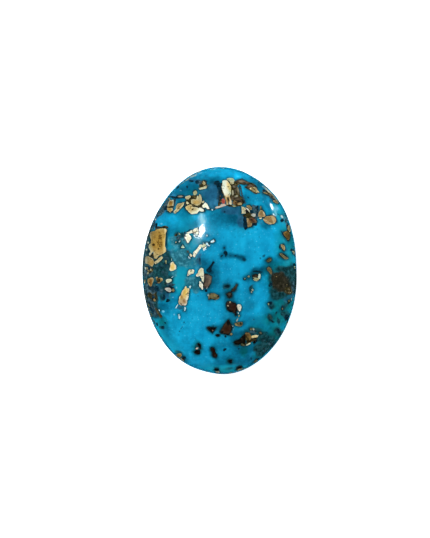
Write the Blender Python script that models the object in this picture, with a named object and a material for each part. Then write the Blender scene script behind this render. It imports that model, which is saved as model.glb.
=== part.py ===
"""Oval cabochon cut from pyrite-bearing turquoise: one polished stone with a flat back.

The stone lies on its back. +Z points out of the dome, +Y along the oval's length.
The origin is the middle of the flat back. The stone is shaped in millimetres, because
Blender's bevel drops details under 0.1 of a unit, and is brought to metres at the end.
"""

import math

import bmesh
import bpy
from mathutils import Vector

MILLIMETRE = 0.001

# Driving dimensions, in millimetres.
LENGTH = 20.1  # the oval's long axis, along Y, before the grinding marks
WIDTH = 15.0  # the oval's short axis, along X, before the grinding marks
HEIGHT = 4.8  # flat back to the top of the dome
GIRDLE_HEIGHT = 1.35  # the steep wall that a bezel grips, bevel included
GIRDLE_LEAN = 0.14  # how far the wall leans in from its foot to the dome
BACK_BEVEL = 0.35  # width of the small bevel round the flat back
DOME_FULLNESS = 2.08  # 2 is a true ellipse in section, and more has fuller shoulders

# Where hand grinding left the outline off a true oval: the direction on the oval in
# degrees from +X, how far the outline stands out in millimetres (in if negative), and
# how many degrees either side it takes to die away.
GRINDING_MARKS = {
    "full_upper_right": (40, 0.16, 16),
    "flat_upper_left": (137, -0.14, 26),
    "flat_foot": (259, -0.15, 15),
    "full_lower_right": (328, 0.06, 22),
    "flat_right": (2, -0.10, 12),
}

# Fineness of the mesh.
STEPS_ROUND = 96
STEPS_UP_DOME = 22
BEVEL_SEGMENTS = 2
SAME_PLACE = 1e-6

TURQUOISE_BLUE = (0.004, 0.31, 0.56, 1.0)
POLISHED_ROUGHNESS = 0.12


def clear_scene():
    for old in list(bpy.data.objects):
        bpy.data.objects.remove(old, do_unlink=True)


def ground_off(direction):
    """How far the outline stands off a true oval in this direction, in millimetres."""
    total = 0.0
    for centre, depth, spread in GRINDING_MARKS.values():
        apart = (math.degrees(direction) - centre + 180) % 360 - 180
        total += depth * math.exp(-((apart / spread) ** 2))
    return total


def half_profile():
    """The stone's section from the middle of the back round to the top of the dome.

    X is the share of the way from the axis to the outline, and Z is in millimetres.
    """
    girdle_top = 1 - GIRDLE_LEAN / (WIDTH / 2)
    points = [Vector((0, 0, 0)), Vector((1, 0, 0))]
    for step in range(STEPS_UP_DOME + 1):
        rise = math.radians(90) * step / STEPS_UP_DOME
        share = max(math.cos(rise), 0.0) ** (2 / DOME_FULLNESS)
        height = GIRDLE_HEIGHT + (HEIGHT - GIRDLE_HEIGHT) * math.sin(rise)
        points.append(Vector((girdle_top * share, 0, height)))
    points[-1].x = 0
    return points


def turn_profile(mesh, points):
    """Turns the profile once round +Z, as a round stone of radius 1."""
    corners = [mesh.verts.new(point) for point in points]
    edges = [mesh.edges.new(pair) for pair in zip(corners, corners[1:])]
    bmesh.ops.spin(
        mesh,
        geom=corners + edges,
        cent=(0, 0, 0),
        axis=(0, 0, 1),
        angle=math.tau,
        steps=STEPS_ROUND,
        use_merge=True,
    )
    bmesh.ops.remove_doubles(mesh, verts=mesh.verts, dist=SAME_PLACE)
    bmesh.ops.recalc_face_normals(mesh, faces=mesh.faces)


def make_oval(mesh):
    """Stretches the round stone to the oval outline, grinding marks included."""
    for vert in mesh.verts:
        share = math.hypot(vert.co.x, vert.co.y)
        direction = math.atan2(vert.co.y, vert.co.x)
        off = ground_off(direction)
        vert.co.x = (WIDTH / 2 + off) * share * math.cos(direction)
        vert.co.y = (LENGTH / 2 + off) * share * math.sin(direction)


def bevel_back(mesh):
    """Breaks the sharp edge between the flat back and the girdle wall."""
    rim = [
        edge
        for edge in mesh.edges
        if all(abs(vert.co.z) < SAME_PLACE for vert in edge.verts)
        and any(face.calc_center_median().z > SAME_PLACE for face in edge.link_faces)
    ]
    bmesh.ops.bevel(
        mesh,
        geom=rim,
        offset=BACK_BEVEL,
        segments=BEVEL_SEGMENTS,
        profile=0.5,
        affect="EDGES",
        material=-1,
    )


def centre_on_back(mesh):
    """Puts the origin under the middle of the outline."""
    for axis in (0, 1):
        places = [vert.co[axis] for vert in mesh.verts]
        middle = (min(places) + max(places)) / 2
        for vert in mesh.verts:
            vert.co[axis] -= middle


def polished_turquoise():
    material = bpy.data.materials.new("polished_turquoise")
    material.use_nodes = True
    shader = material.node_tree.nodes["Principled BSDF"]
    shader.inputs["Base Color"].default_value = TURQUOISE_BLUE
    shader.inputs["Roughness"].default_value = POLISHED_ROUGHNESS
    shader.inputs["Metallic"].default_value = 0.0
    return material


def make_cabochon():
    mesh = bmesh.new()
    turn_profile(mesh, half_profile())
    make_oval(mesh)
    bevel_back(mesh)
    centre_on_back(mesh)
    bmesh.ops.scale(mesh, vec=(MILLIMETRE,) * 3, verts=mesh.verts)
    data = bpy.data.meshes.new("cabochon")
    mesh.to_mesh(data)
    mesh.free()
    data.shade_smooth()
    data.set_sharp_from_angle(angle=math.radians(35))
    data.materials.append(polished_turquoise())
    stone = bpy.data.objects.new("cabochon", data)
    bpy.context.scene.collection.objects.link(stone)
    return stone


clear_scene()
make_cabochon()
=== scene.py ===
import math
import random

import bmesh
import bpy
import numpy as np
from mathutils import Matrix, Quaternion, Vector, noise


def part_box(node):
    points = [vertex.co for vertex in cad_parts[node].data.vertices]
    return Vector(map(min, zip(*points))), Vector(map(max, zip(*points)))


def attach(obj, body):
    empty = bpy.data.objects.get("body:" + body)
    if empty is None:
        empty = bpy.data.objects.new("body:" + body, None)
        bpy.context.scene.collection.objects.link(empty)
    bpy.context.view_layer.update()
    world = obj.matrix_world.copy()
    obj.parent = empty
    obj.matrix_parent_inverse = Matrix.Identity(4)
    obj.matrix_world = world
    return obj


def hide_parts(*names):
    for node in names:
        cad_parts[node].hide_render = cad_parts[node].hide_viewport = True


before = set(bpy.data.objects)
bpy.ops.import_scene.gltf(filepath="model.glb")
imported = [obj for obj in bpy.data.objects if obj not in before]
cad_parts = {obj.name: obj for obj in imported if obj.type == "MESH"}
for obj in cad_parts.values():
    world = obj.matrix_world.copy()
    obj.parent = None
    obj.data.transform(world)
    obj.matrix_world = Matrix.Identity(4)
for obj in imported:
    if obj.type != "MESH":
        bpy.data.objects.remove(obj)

noise.seed_set(7)  # or the noise differs from run to run

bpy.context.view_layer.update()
mm = 0.001
print("frame loaded")


# Small helpers that every piece uses.

def colour(hexValue):
    # sRGB hex to the linear values that Blender mixes with
    parts = [int(hexValue[start:start + 2], 16) / 255 for start in (1, 3, 5)]
    linear = [part / 12.92 if part <= 0.04045 else ((part + 0.055) / 1.055) ** 2.4 for part in parts]
    return (*linear, 1.0)


def add(tree, kind, settings=None, inputs=None, stops=None):
    # adds one node with its settings, its values and links, and a ramp's stops
    made = tree.nodes.new("ShaderNode" + kind)
    for name, value in (settings or {}).items():
        setattr(made, name, value)
    for name, value in (inputs or {}).items():
        if isinstance(value, bpy.types.NodeSocket):
            tree.links.new(value, made.inputs[name])
        else:
            made.inputs[name].default_value = value
    for index, (position, hexValue) in enumerate(stops or []):
        ends = made.color_ramp.elements
        stop = ends[index] if index < len(ends) else ends.new(position)
        stop.position = position
        stop.color = colour(hexValue)
    return made


def stored(tree, name):
    # a value kept on the points of the mesh
    return add(tree, "Attribute", {"attribute_name": name}).outputs["Fac"]


def mottle(tree, place, size, detail, roughness=0.5, output="Fac"):
    # noise of this size in millimetres
    values = {"Vector": place, "Scale": 1 / (size * mm), "Detail": detail, "Roughness": roughness}
    return add(tree, "TexNoise", {}, values).outputs[output]


def bentPlace(tree, place, size, reach):
    # pushes each place about, so that a pattern of straight cells comes out ragged
    bend = mottle(tree, place, size, 3, output="Color")
    push = add(tree, "VectorMath", {"operation": "SCALE"}, {0: bend, "Scale": reach * mm}).outputs[0]
    return add(tree, "VectorMath", {"operation": "ADD"}, {0: place, 1: push}).outputs[0]


def combine(tree, operation, *values):
    return add(tree, "Math", {"operation": operation}, dict(enumerate(values))).outputs[0]


def smoothRise(tree, value, start, end, most=1.0):
    # nothing at start and a smooth rise to most at end, whichever of the two is the higher
    values = {"Value": value, "From Min": start, "From Max": end, "To Max": most}
    return add(tree, "MapRange", {"interpolation_type": "SMOOTHSTEP"}, values).outputs[0]


def linearRise(tree, value, start, end, least, most):
    values = {"Value": value, "From Min": start, "From Max": end, "To Min": least, "To Max": most}
    return add(tree, "MapRange", {}, values).outputs[0]


def blend(tree, amount, under, over, how="MIX"):
    values = {0: amount, 6: under, 7: over}
    return add(tree, "Mix", {"data_type": "RGBA", "blend_type": how}, values).outputs[2]


def ramp(tree, value, stops):
    return add(tree, "ValToRGB", {}, {0: value}, stops).outputs[0]


def addBump(tree, shader, look, height):
    values = {"Strength": look["bumpStrength"], "Distance": look["bumpHeight"] * mm, "Height": height}
    tree.links.new(add(tree, "Bump", {}, values).outputs[0], shader.inputs["Normal"])


def newMaterial(name):
    material = bpy.data.materials.new(name)
    material.use_nodes = True
    return material, material.node_tree, material.node_tree.nodes["Principled BSDF"]


def finishPiece(name, mesh, material, smoothAngle):
    # shaped in millimetres, brought to metres here
    bmesh.ops.scale(mesh, vec=(mm, mm, mm), verts=mesh.verts)
    data = bpy.data.meshes.new(name)
    mesh.to_mesh(data)
    mesh.free()
    data.shade_smooth()
    data.set_sharp_from_angle(angle=math.radians(smoothAngle))
    data.materials.append(material)
    piece = bpy.data.objects.new(name, data)
    bpy.context.scene.collection.objects.link(piece)
    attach(piece, "root")
    return piece


# The stone's form, in millimetres. The height comes from the frame, and the oval and its
# grinding marks are the CAD's own: direction in degrees, how far out, how wide.

lowest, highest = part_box("cabochon")
stone = {
    "length": 20.1,
    "width": 15.0,
    "height": (highest.z - lowest.z) / mm,
    "girdle": 1.35,  # height of the steep wall, bevel included
    "lean": 0.14,
    "backBevel": 0.35,
    "fullness": 2.08,  # 2 is a true ellipse in section
    "grindingMarks": [(40, 0.16, 16), (137, -0.14, 26), (259, -0.15, 15), (328, 0.06, 22), (2, -0.1, 12)],
    "sectionSteps": 400,
    "stepsRound": 96,  # the CAD's own, which settle where the middle of the outline is
    "gridAcross": 196,
    "gridAlong": 262,
    "backAcross": 84,
    "backAlong": 112,
    "backMargin": 0.012,  # how far inside the bevel the back's grid ends, as a share
    "wallRows": 8,
    "bevelRows": 4,
    "swells": [(2.6, 0.013), (1.05, 0.004)],  # waves that hand polishing leaves: width, height
    "sharpAngle": 50,
}
girdleTop = 1 - stone["lean"] / (stone["width"] / 2)


def semiAxes(direction):
    off = 0.0
    for centre, depth, spread in stone["grindingMarks"]:
        apart = (math.degrees(direction) - centre + 180) % 360 - 180
        off += depth * math.exp(-((apart / spread) ** 2))
    return stone["width"] / 2 + off, stone["length"] / 2 + off


def outlineMiddle():
    rim = []
    for step in range(stone["stepsRound"]):
        direction = math.tau * step / stone["stepsRound"]
        wide, long = semiAxes(direction)
        rim.append((wide * math.cos(direction), long * math.sin(direction)))
    return [(min(places) + max(places)) / 2 for places in zip(*rim)]


middle = outlineMiddle()


def ovalPoint(share, direction):
    wide, long = semiAxes(direction)
    return (wide * share * math.cos(direction) - middle[0], long * share * math.sin(direction) - middle[1])


def ovalPlace(x, y):
    # the other way round: how far out a point is, as a share, and its direction
    direction = math.atan2(y, x)
    for _ in range(4):  # each round comes closer
        wide, long = semiAxes(direction)
        direction = math.atan2((y + middle[1]) / long, (x + middle[0]) / wide)
    wide, long = semiAxes(direction)
    return math.hypot((x + middle[0]) / wide, (y + middle[1]) / long), direction


def heightAt(share):
    if share <= girdleTop:
        rise = max(0.0, 1 - (share / girdleTop) ** stone["fullness"])
        return stone["girdle"] + (stone["height"] - stone["girdle"]) * math.sqrt(rise)
    return stone["girdle"] * max(0.0, (1 - share) / (1 - girdleTop))


def swell(x, y, share):
    # dies away towards the wall, so the outline stays true
    fade = max(0.0, 1 - share ** 8)
    return fade * sum(
        tall * noise.noise(Vector((x / wide, y / wide, 7.3 * wide))) for wide, tall in stone["swells"]
    )


def onDome(x, y):
    share, _ = ovalPlace(x, y)
    return Vector((x, y, heightAt(share) + swell(x, y, share)))


def onBack(x, y):
    return Vector((x, y, 0.0))


def onWallAt(direction):
    # a small flat map of the wall round this direction: x runs round it, y is the height
    wide, long = semiAxes(direction)
    pace = math.hypot(wide * math.sin(direction), long * math.cos(direction))

    def onWall(x, y):
        share = 1 - (1 - girdleTop) * (y - stone["backBevel"]) / (stone["girdle"] - stone["backBevel"])
        return Vector((*ovalPoint(share, direction + x / pace), y))

    return onWall


def lifted(place, x, y, lift):
    # a point that stands off the surface by lift, and the way out of the surface there
    reach = 0.02
    across = place(x + reach, y) - place(x - reach, y)
    along = place(x, y + reach) - place(x, y - reach)
    out = across.cross(along).normalized()
    if place is onBack:
        out = -out
    return place(x, y) + out * lift, out


# Mineral grains. Each is a polygon in millimetres on the face of the stone, seen from
# above, with x to the right and y up from its middle: its tone, then x and y of each corner.

# A grain's tone is partly its own colour, fresh or tarnished, and partly painted reflection: how brightly its
# faces would catch the lamps.
pyrite = {
    "proud": 0.014,  # harder than the stone, so polishing leaves it this much higher
    "depth": 0.22,
    "edge": 0.045,
    "rim": 1.0,  # how dark the stone is stained round a grain, and round those of some clusters
    "rims": {"bigLeft": 0.8, "leftPair": 0.7, "topWhite": 0.5, "centre": 0.4, "lowerLeft": 0.7},
}
pyrite["outlines"] = {
    "bigLeft": [
        (0.73, -6.6, 3.58, -6.42, 3.66, -6.15, 3.72, -5.95, 3.86, -5.6, 3.94, -5.12, 3.94, -4.99, 3.8,
            -5.06, 3.4, -5.12, 3, -5.13, 2.4, -5.08, 2, -5.02, 1.74, -5.25, 1.6, -5.5, 1.44, -5.82, 1.34,
            -5.98, 1.08, -6.16, 1.14, -6.55, 1.36, -6.66, 1.5, -6.4, 1.6, -6.22, 1.66, -6.2, 1.8, -6.5, 1.84,
            -6.58, 1.96, -6.72, 2.2, -6.7, 2.46, -6.5, 2.56, -6.52, 3, -6.6, 3.3),
        (0.7, -7.06, 1.26, -6.78, 1.32, -6.52, 1.2, -6.28, 1.04, -6.2, 0.84, -6.22, 0.52, -6.36, 0.34,
            -6.6, 0.46, -6.84, 0.6, -7.06, 0.66, -7.1, 0.95),
        (0.76, -6.18, 0.76, -5.9, 0.94, -5.68, 1.14, -5.45, 1.3, -5.33, 1.16, -5.55, 0.9, -5.8, 0.7,
            -6.04, 0.54, -6.14, 0.6),
        (0.62, -6.94, 0.26, -6.8, 0.26, -6.78, 0.08, -6.9, 0.06),
        (0.66, -6.56, 0.14, -6.42, 0.12, -6.42, -0.08, -6.54, -0.06),
        (0.55, -6.84, 0.02, -6.64, 0, -6.62, -0.14, -6.8, -0.16),
        (0.7, -6.88, -0.22, -6.76, -0.22, -6.74, -0.4, -6.86, -0.38),
    ],
    "leftPair": [
        (0.68, -4.86, 6.45, -4.72, 6.66, -4.32, 6.72, -4.3, 6.4, -4.36, 6.1, -4.62, 6.12, -4.95, 6.08,
            -4.9, 6.25),
        (0.72, -4.84, 6.92, -4.7, 6.9, -4.62, 6.77, -4.8, 6.72),
        (0.66, -4.95, 5.94, -4.72, 5.97, -4.44, 5.9, -4.42, 5.74, -4.5, 5.58, -4.6, 5.47, -4.76, 5.55,
            -4.92, 5.72),
        (0.66, -3.93, 6.34, -3.6, 6.36, -3.28, 6.46, -3.36, 6.18, -3.62, 5.88, -3.9, 5.62, -4.14, 5.38,
            -4.26, 5.42, -4.28, 5.66, -4.12, 5.8, -4.06, 6.08),
    ],
    "upperCluster": [
        (0.74, -3.2, 7, -2.98, 7.07, -2.75, 7.08, -2.65, 6.98, -2.85, 6.8, -2.95, 6.7, -3.14, 6.8),
        (0.76, -3.15, 6.55, -3, 6.52, -2.84, 6.36, -3, 6.28, -3.14, 6.36),
        (0.72, -2.66, 6.66, -2.5, 6.76, -2.22, 6.68, -2.02, 6.76, -2, 7.05, -1.88, 7.22, -1.74, 7.1,
            -1.66, 6.9, -1.62, 6.6, -1.66, 6.4, -1.8, 6.24, -2, 6.12, -2.16, 6.15, -2.42, 6.24, -2.6, 6.32),
        (0.76, -3.2, 6, -3, 6.1, -2.76, 6.24, -2.56, 6.2, -2.5, 6, -2.28, 5.97, -2.1, 5.95, -1.92, 5.86,
            -1.8, 5.72, -1.94, 5.56, -2.1, 5.4, -2.6, 5.3, -2.8, 5.4, -2.94, 5.64, -3.1, 5.8),
        (0.95, -1.6, 6.1, -1.42, 6.28, -1.3, 6.4, -1.14, 6.3, -1.04, 6.08, -0.88, 5.82, -1.08, 5.8,
            -1.25, 5.95, -1.5, 5.92),
        (0.99, -2.02, 5.84, -1.7, 5.9, -1.42, 5.76, -1.38, 5.62, -1.6, 5.55, -1.88, 5.64),
        (0.74, -1.6, 6.5, -1.46, 6.6, -1.38, 6.5, -1.5, 6.34),
        (0.7, -2.46, 7.44, -2.26, 7.6, -2.1, 7.5, -2.08, 7.26, -2.2, 7.14, -2.42, 7.2),
        (0.8, -1.92, 7.78, -1.66, 7.86, -1.3, 7.96, -1.18, 8.08, -1.1, 7.98, -1.18, 7.82, -1.5, 7.74,
            -1.8, 7.66),
        (0.62, -1.58, 8.28, -1.5, 8.5, -1.38, 8.44, -1.3, 8.24, -1.36, 8.1, -1.54, 8.14),
    ],
    "topWhite": [
        (0.93, 0.34, 8.48, 0.5, 8.62, 0.8, 8.52, 1.04, 8.22, 1.18, 7.9, 1.2, 7.55, 1.12, 7.2, 0.96, 6.98,
            0.76, 6.94, 0.52, 7.14, 0.36, 7.5, 0.3, 7.95),
        (0.84, 0.7, 8.68, 0.92, 8.78, 1.34, 8.76, 1.52, 8.52, 1.36, 8.36, 1.1, 8.44, 0.86, 8.56),
        (0.72, 1.02, 8.32, 1.12, 8.46, 1.44, 8.42, 1.4, 8.2, 1.2, 8.14),
        (0.7, 0.46, 7.22, 0.62, 7.12, 0.76, 6.8, 0.92, 6.5, 0.92, 6.2, 0.74, 6.24, 0.66, 6.7),
        (0.86, 0.92, 7.1, 1.08, 7.16, 1.1, 6.7, 1.26, 6.4, 1.18, 6.18, 1, 6.22, 0.98, 6.7),
        (0.52, 1.28, 6.44, 1.46, 6.62, 1.7, 6.52, 1.72, 6.3, 1.5, 6.2, 1.3, 6.24),
        (0.5, 1.76, 6.36, 2, 6.46, 2.2, 6.36, 2.14, 6.18, 1.78, 6.16),
        (0.7, 1.28, 6.14, 1.7, 6.13, 1.58, 6.02, 1.34, 6.03),
        (0.56, 3.3, 7.98, 3.52, 7.88, 3.66, 7.64, 3.88, 7.4, 3.6, 7.38, 3.24, 7.54, 2.92, 7.8, 3.06, 7.92),
    ],
    "chain": [
        (0.78, 2.14, 6.08, 2.36, 5.98, 2.52, 5.82, 2.5, 5.6, 2.52, 5.36, 2.15, 5.35, 2.26, 5.66, 2.2, 5.88),
        (0.88, 2.46, 5.98, 2.74, 5.86, 2.93, 5.62, 2.94, 5.46, 2.82, 5.6, 2.66, 5.78),
        (0.5, 2.6, 6.1, 2.9, 6.17, 3.12, 6, 3.12, 5.76, 2.98, 5.7, 2.82, 5.9),
        (0.54, 2.6, 4.94, 2.8, 4.9, 2.96, 4.68, 3.14, 4.4, 3.1, 4.14, 2.74, 4.05, 2.7, 4.4),
        (0.6, 3.8, 5.5, 3.96, 5.68, 4.16, 5.68, 4.32, 5.44, 4.42, 5.2, 4.36, 5.11, 4.12, 5.07, 3.8, 5.08,
            3.77, 5.28),
        (0.84, 3.84, 5.01, 4.08, 5.01, 4.1, 4.92, 3.98, 4.86, 3.85, 4.92),
        (0.4, 3.92, 6.08, 4.02, 6.08, 4.06, 5.82, 3.97, 5.74, 3.9, 5.9),
        (0.58, 4.2, 4.84, 4.48, 5.07, 4.84, 5.15, 5.2, 5.18, 5.36, 5, 5.46, 4.62, 5.24, 4.41, 4.76, 4.37,
            4.44, 4.52),
    ],
    "rightEdge": [
        (0.54, 4.24, 7.42, 4.48, 7.5, 4.8, 7.44, 5.14, 7.28, 5.3, 7, 5.38, 6.85, 5.24, 6.84, 5.04, 7.1,
            4.72, 7.24, 4.42, 7.32),
        (0.64, 5.18, 6.68, 5.44, 6.71, 5.66, 6.6, 5.7, 6.45, 5.52, 6.41, 5.26, 6.52),
        (0.72, 6.56, 3.96, 6.7, 4.34, 6.82, 4.28, 6.9, 3.98, 6.88, 3.7, 6.78, 3.6, 6.68, 3.78),
        (0.36, 6.18, 3.58, 6.5, 3.76, 6.68, 3.56, 6.82, 3.4, 6.78, 3.08, 6.64, 2.86, 6.52, 2.93, 6.34, 3.2,
            6.2, 3.42),
        (0.52, 5.92, 2.42, 6.14, 2.44, 6.26, 2.28, 6.3, 1.98, 6.2, 1.85, 6.05, 2, 5.95, 2.2),
        (0.44, 5.78, 1.58, 5.96, 1.6, 6.32, 1.36, 6.58, 1.16, 6.6, 1.05, 6.36, 1.05, 6.08, 1.2, 5.86, 1.42),
        (0.74, 7.08, 1.84, 7.22, 1.82, 7.3, 1.6, 7.25, 1.48, 7.12, 1.6),
        (0.32, 4.48, 0.9, 4.58, 1, 4.8, 1.14, 4.96, 1.1, 4.98, 0.88, 4.86, 0.78, 4.64, 0.74),
        (0.38, 4.6, 0.18, 4.76, 0.28, 4.94, 0.16, 5.06, -0.08, 5.1, -0.38, 5, -0.46, 4.8, -0.24,
            4.62, -0.04),
        (0.8, 7.22, 0.3, 7.3, 0.38, 7.34, 0.1, 7.27, 0.08),
        (0.36, 6.52, -1.8, 6.72, -1.76, 6.8, -1.92, 6.62, -1.96),
        (0.36, 6.58, -2.1, 6.8, -2.06, 6.84, -2.22, 6.66, -2.26),
        (0.42, 5.42, -0.56, 5.54, -0.58, 5.52, -0.68, 5.42, -0.66),
        (0.42, 6.44, -1.34, 6.56, -1.32, 6.56, -1.46, 6.46, -1.46),
        (0.52, 6.64, -2.92, 6.76, -2.88, 6.76, -3.06, 6.68, -3.08),
    ],
    "centre": [
        (0.86, -1.96, -0.1, -1.84, 0.06, -1.68, 0.18, -1.52, 0.12, -1.44, -0.2, -1.41, -0.8, -1.43, -1.14,
            -1.52, -1.18, -1.64, -0.98, -1.72, -0.76, -1.84, -0.54, -2.08, -0.6, -2.2, -0.5, -2.12, -0.38,
            -2, -0.36),
        (0.97, -1.8, -1.06, -1.68, -1.12, -1.53, -1.32, -1.5, -1.6, -1.5, -1.87, -1.64, -1.83, -1.86, -1.56,
            -1.84, -1.3),
        (0.86, -2.98, -0.56, -2.94, -0.2, -2.84, 0.03, -2.4, 0.04, -2.35, -0.08, -2.43, -0.36, -2.76, -0.41,
            -2.9, -0.58),
        (0.92, -2.46, 1.48, -2.4, 1.72, -2.2, 1.92, -2, 2.14, -1.82, 2.36, -1.68, 2.42, -1.6, 2.3,
            -1.66, 2.14, -1.84, 1.94, -2.04, 1.64, -2.18, 1.4, -2.3, 1.2, -2.42, 1.24),
        (0.86, -1.62, 2.38, -1.4, 2.52, -1.22, 2.4, -1.3, 2.22, -1.5, 2.08, -1.62, 2.22),
        (0.82, -2.8, 1.54, -2.64, 1.52, -2.5, 1.34, -2.57, 1.26, -2.76, 1.4),
        (0.98, -1.56, 2.02, -1.3, 2.2, -1.22, 2.14, -1.38, 1.98, -1.52, 1.94),
        (0.94, -3.08, 3.56, -2.8, 3.68, -2.5, 3.82, -2.2, 3.95, -1.96, 4, -1.92, 3.46, -2.3, 3.46, -2.6, 3.5,
            -2.9, 3.46),
        (0.96, -3.22, 3.1, -3.12, 3.42, -2.86, 3.44, -2.68, 3.18, -2.62, 3, -2.76, 2.74, -2.92, 2.54,
            -3.04, 2.6, -3.12, 2.8),
        (0.9, -4.64, 0.6, -4.56, 0.75, -4.32, 0.8, -4.2, 0.54, -4.09, 0.4, -4.1, 0.09, -4.32, -0.03,
            -4.6, -0.1, -4.68, 0.04, -4.63, 0.28),
        (0.93, -3.16, -1.53, -3.08, -1.58, -3.02, -1.76, -2.86, -1.72, -2.81, -1.84, -2.85, -2.24,
            -2.89, -2.48, -2.98, -2.86, -3.1, -2.88, -3.26, -2.74, -3.4, -2.6, -3.62, -2.4, -3.55, -2.2,
            -3.4, -1.92),
        (0.84, -3.68, -2.42, -3.42, -2.54, -3.24, -2.7, -3.06, -2.86, -3.04, -3.06, -3.06, -3.26,
            -3.18, -3.38, -3.4, -3.39, -3.64, -3.35, -3.83, -3.22, -3.84, -3.04, -3.79, -2.72),
        (0.42, -0.94, -2.28, -0.76, -2.21, -0.52, -2.2, -0.2, -2.32, -0.02, -2.41, 0.02, -2.56, -0.14, -2.78,
            -0.36, -2.85, -0.72, -2.75, -0.94, -2.78, -0.98, -2.56),
        (0.96, 3.76, -0.36, 3.9, -0.3, 3.96, -0.58, 3.86, -0.84, 3.7, -0.7, 3.76, -0.52),
        (0.74, 3.18, -0.72, 3.4, -0.84, 3.68, -0.74, 3.84, -0.86, 3.66, -1, 3.42, -1, 3.24, -0.9),
        (0.74, 2.7, -0.62, 2.78, -0.55, 2.92, -0.6, 2.9, -0.7, 2.76, -0.7),
        (0.7, 2.4, -0.8, 2.48, -0.74, 2.56, -0.82, 2.46, -0.92),
        (0.95, 1.72, -3.4, 1.86, -3.25, 2.04, -3.29, 2.13, -3.52, 2.07, -3.8, 1.96, -3.91, 1.85, -3.87,
            1.77, -3.66),
        (0.68, 1.82, -4.32, 1.96, -4.25, 1.99, -4.4, 1.88, -4.47),
        (0.72, 1.02, -3, 1.12, -2.98, 1.1, -3.16, 1, -3.18),
        (0.84, 0.78, -3.38, 0.88, -3.32, 0.94, -3.42, 0.84, -3.5),
        (0.42, 1.5, -5.1, 1.66, -4.98, 1.92, -4.91, 2.22, -4.95, 2.23, -5.18, 2.12, -5.33, 1.78, -5.31,
            1.6, -5.29),
        (0.72, 4.64, -3.2, 4.72, -3.13, 4.8, -3.24, 4.73, -3.36),
        (0.5, 1.1, -5.98, 1.2, -5.96, 1.3, -6.12, 1.22, -6.24, 1.08, -6.2),
        (0.5, 6.02, -3.64, 6.1, -3.62, 6.12, -3.78, 6.04, -3.8),
        (0.8, -3.88, 3.56, -3.74, 3.48, -3.64, 3.34, -3.76, 3.36),
        (0.78, -4.14, 2.65, -4.04, 2.71, -4.06, 2.58),
        (0.92, -3.62, 2.12, -3.5, 2.24, -3.42, 2.44, -3.36, 2.3, -3.26, 2.08, -3.44, 2.08),
    ],
    "lowerLeft": [
        (0.6, -6.8, -0.85, -6.62, -0.76, -6.3, -0.75, -6.21, -0.9, -6.34, -1.24, -6.4, -1.55, -6.54, -1.61,
            -6.7, -1.42, -6.8, -1.15),
        (0.56, -6.02, -0.7, -5.88, -0.64, -5.76, -0.8, -5.5, -0.74, -5.34, -0.86, -5.38, -1.04, -5.52, -1.12,
            -5.64, -1.28, -5.84, -1.24, -5.92, -1),
        (0.9, -5.06, -0.98, -4.92, -0.88, -4.52, -0.88, -4.48, -1.06, -4.66, -1.14, -4.9, -1.24,
            -5.03, -1.15),
        (0.46, -4.43, -1.78, -4.33, -1.74, -4.23, -1.92, -4.29, -2.03, -4.43, -2.05, -4.47, -1.92),
        (0.5, -6.25, -2.76, -6.1, -2.72, -6.02, -2.86, -6.1, -2.98, -6.22, -2.94),
        (0.26, -6.12, -3.66, -6, -3.62, -5.74, -4.02, -5.44, -4.5, -5.56, -4.58, -5.8, -4.32, -6.02, -3.96),
        (0.72, -6.84, -3.2, -6.74, -3.24, -6.6, -3.5, -6.68, -3.55, -6.78, -3.42),
        (0.66, -6.56, -4.12, -6.46, -4.2, -6.36, -4.42, -6.46, -4.44, -6.54, -4.28),
        (0.6, -7.2, -1.1, -7.06, -0.9, -6.98, -0.94, -7.14, -1.18),
        (0.64, -5.18, 0.8, -5.04, 0.98, -5, 0.9, -5.08, 0.76, -4.98, 0.56, -5.1, 0.58),
        (0.66, -4.1, -8.18, -3.96, -8.04, -3.66, -8, -3.58, -8.18, -3.69, -8.36, -3.92, -8.38),
        (0.84, -3.78, -8.48, -3.62, -8.48, -3.32, -8.72, -3.4, -8.78, -3.58, -8.66),
    ],
    "lowerRight": [
        (0.46, 2.54, -6, 2.85, -5.98, 3.02, -6.16, 3.06, -6.5, 2.96, -6.84, 2.7, -6.94, 2.56, -6.5),
        (0.88, 3.05, -6.34, 3.2, -6.23, 3.6, -6.19, 3.71, -6.27, 3.66, -6.41, 3.36, -6.48, 3.09, -6.49),
        (0.42, 2.97, -5.62, 3.08, -5.56, 3.18, -5.62, 3.16, -5.73, 3.01, -5.73),
        (0.08, 2.9, -6.76, 3.1, -6.58, 3.5, -6.56, 3.56, -6.68, 3.1, -6.8, 2.76, -6.94),
        (0.84, 2.58, -7.14, 2.8, -6.99, 3, -6.92, 3.02, -7.01, 2.8, -7.16, 2.61, -7.24),
        (0.34, 2.14, -6.99, 2.28, -6.98, 2.46, -7.16, 2.36, -7.25, 2.19, -7.13),
        (0.56, 3.34, -8.92, 3.45, -8.78, 3.6, -8.6, 3.8, -8.64, 3.66, -8.8, 3.48, -8.92),
        (0.72, 1.74, -9.57, 2, -9.49, 2.28, -9.47, 2.34, -9.54, 2.16, -9.64, 1.88, -9.71),
        (0.84, -0.3, -9.76, -0.06, -9.7, 0.08, -9.74, 0.08, -9.88, -0.06, -9.92, -0.26, -9.9),
    ],
}

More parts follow.
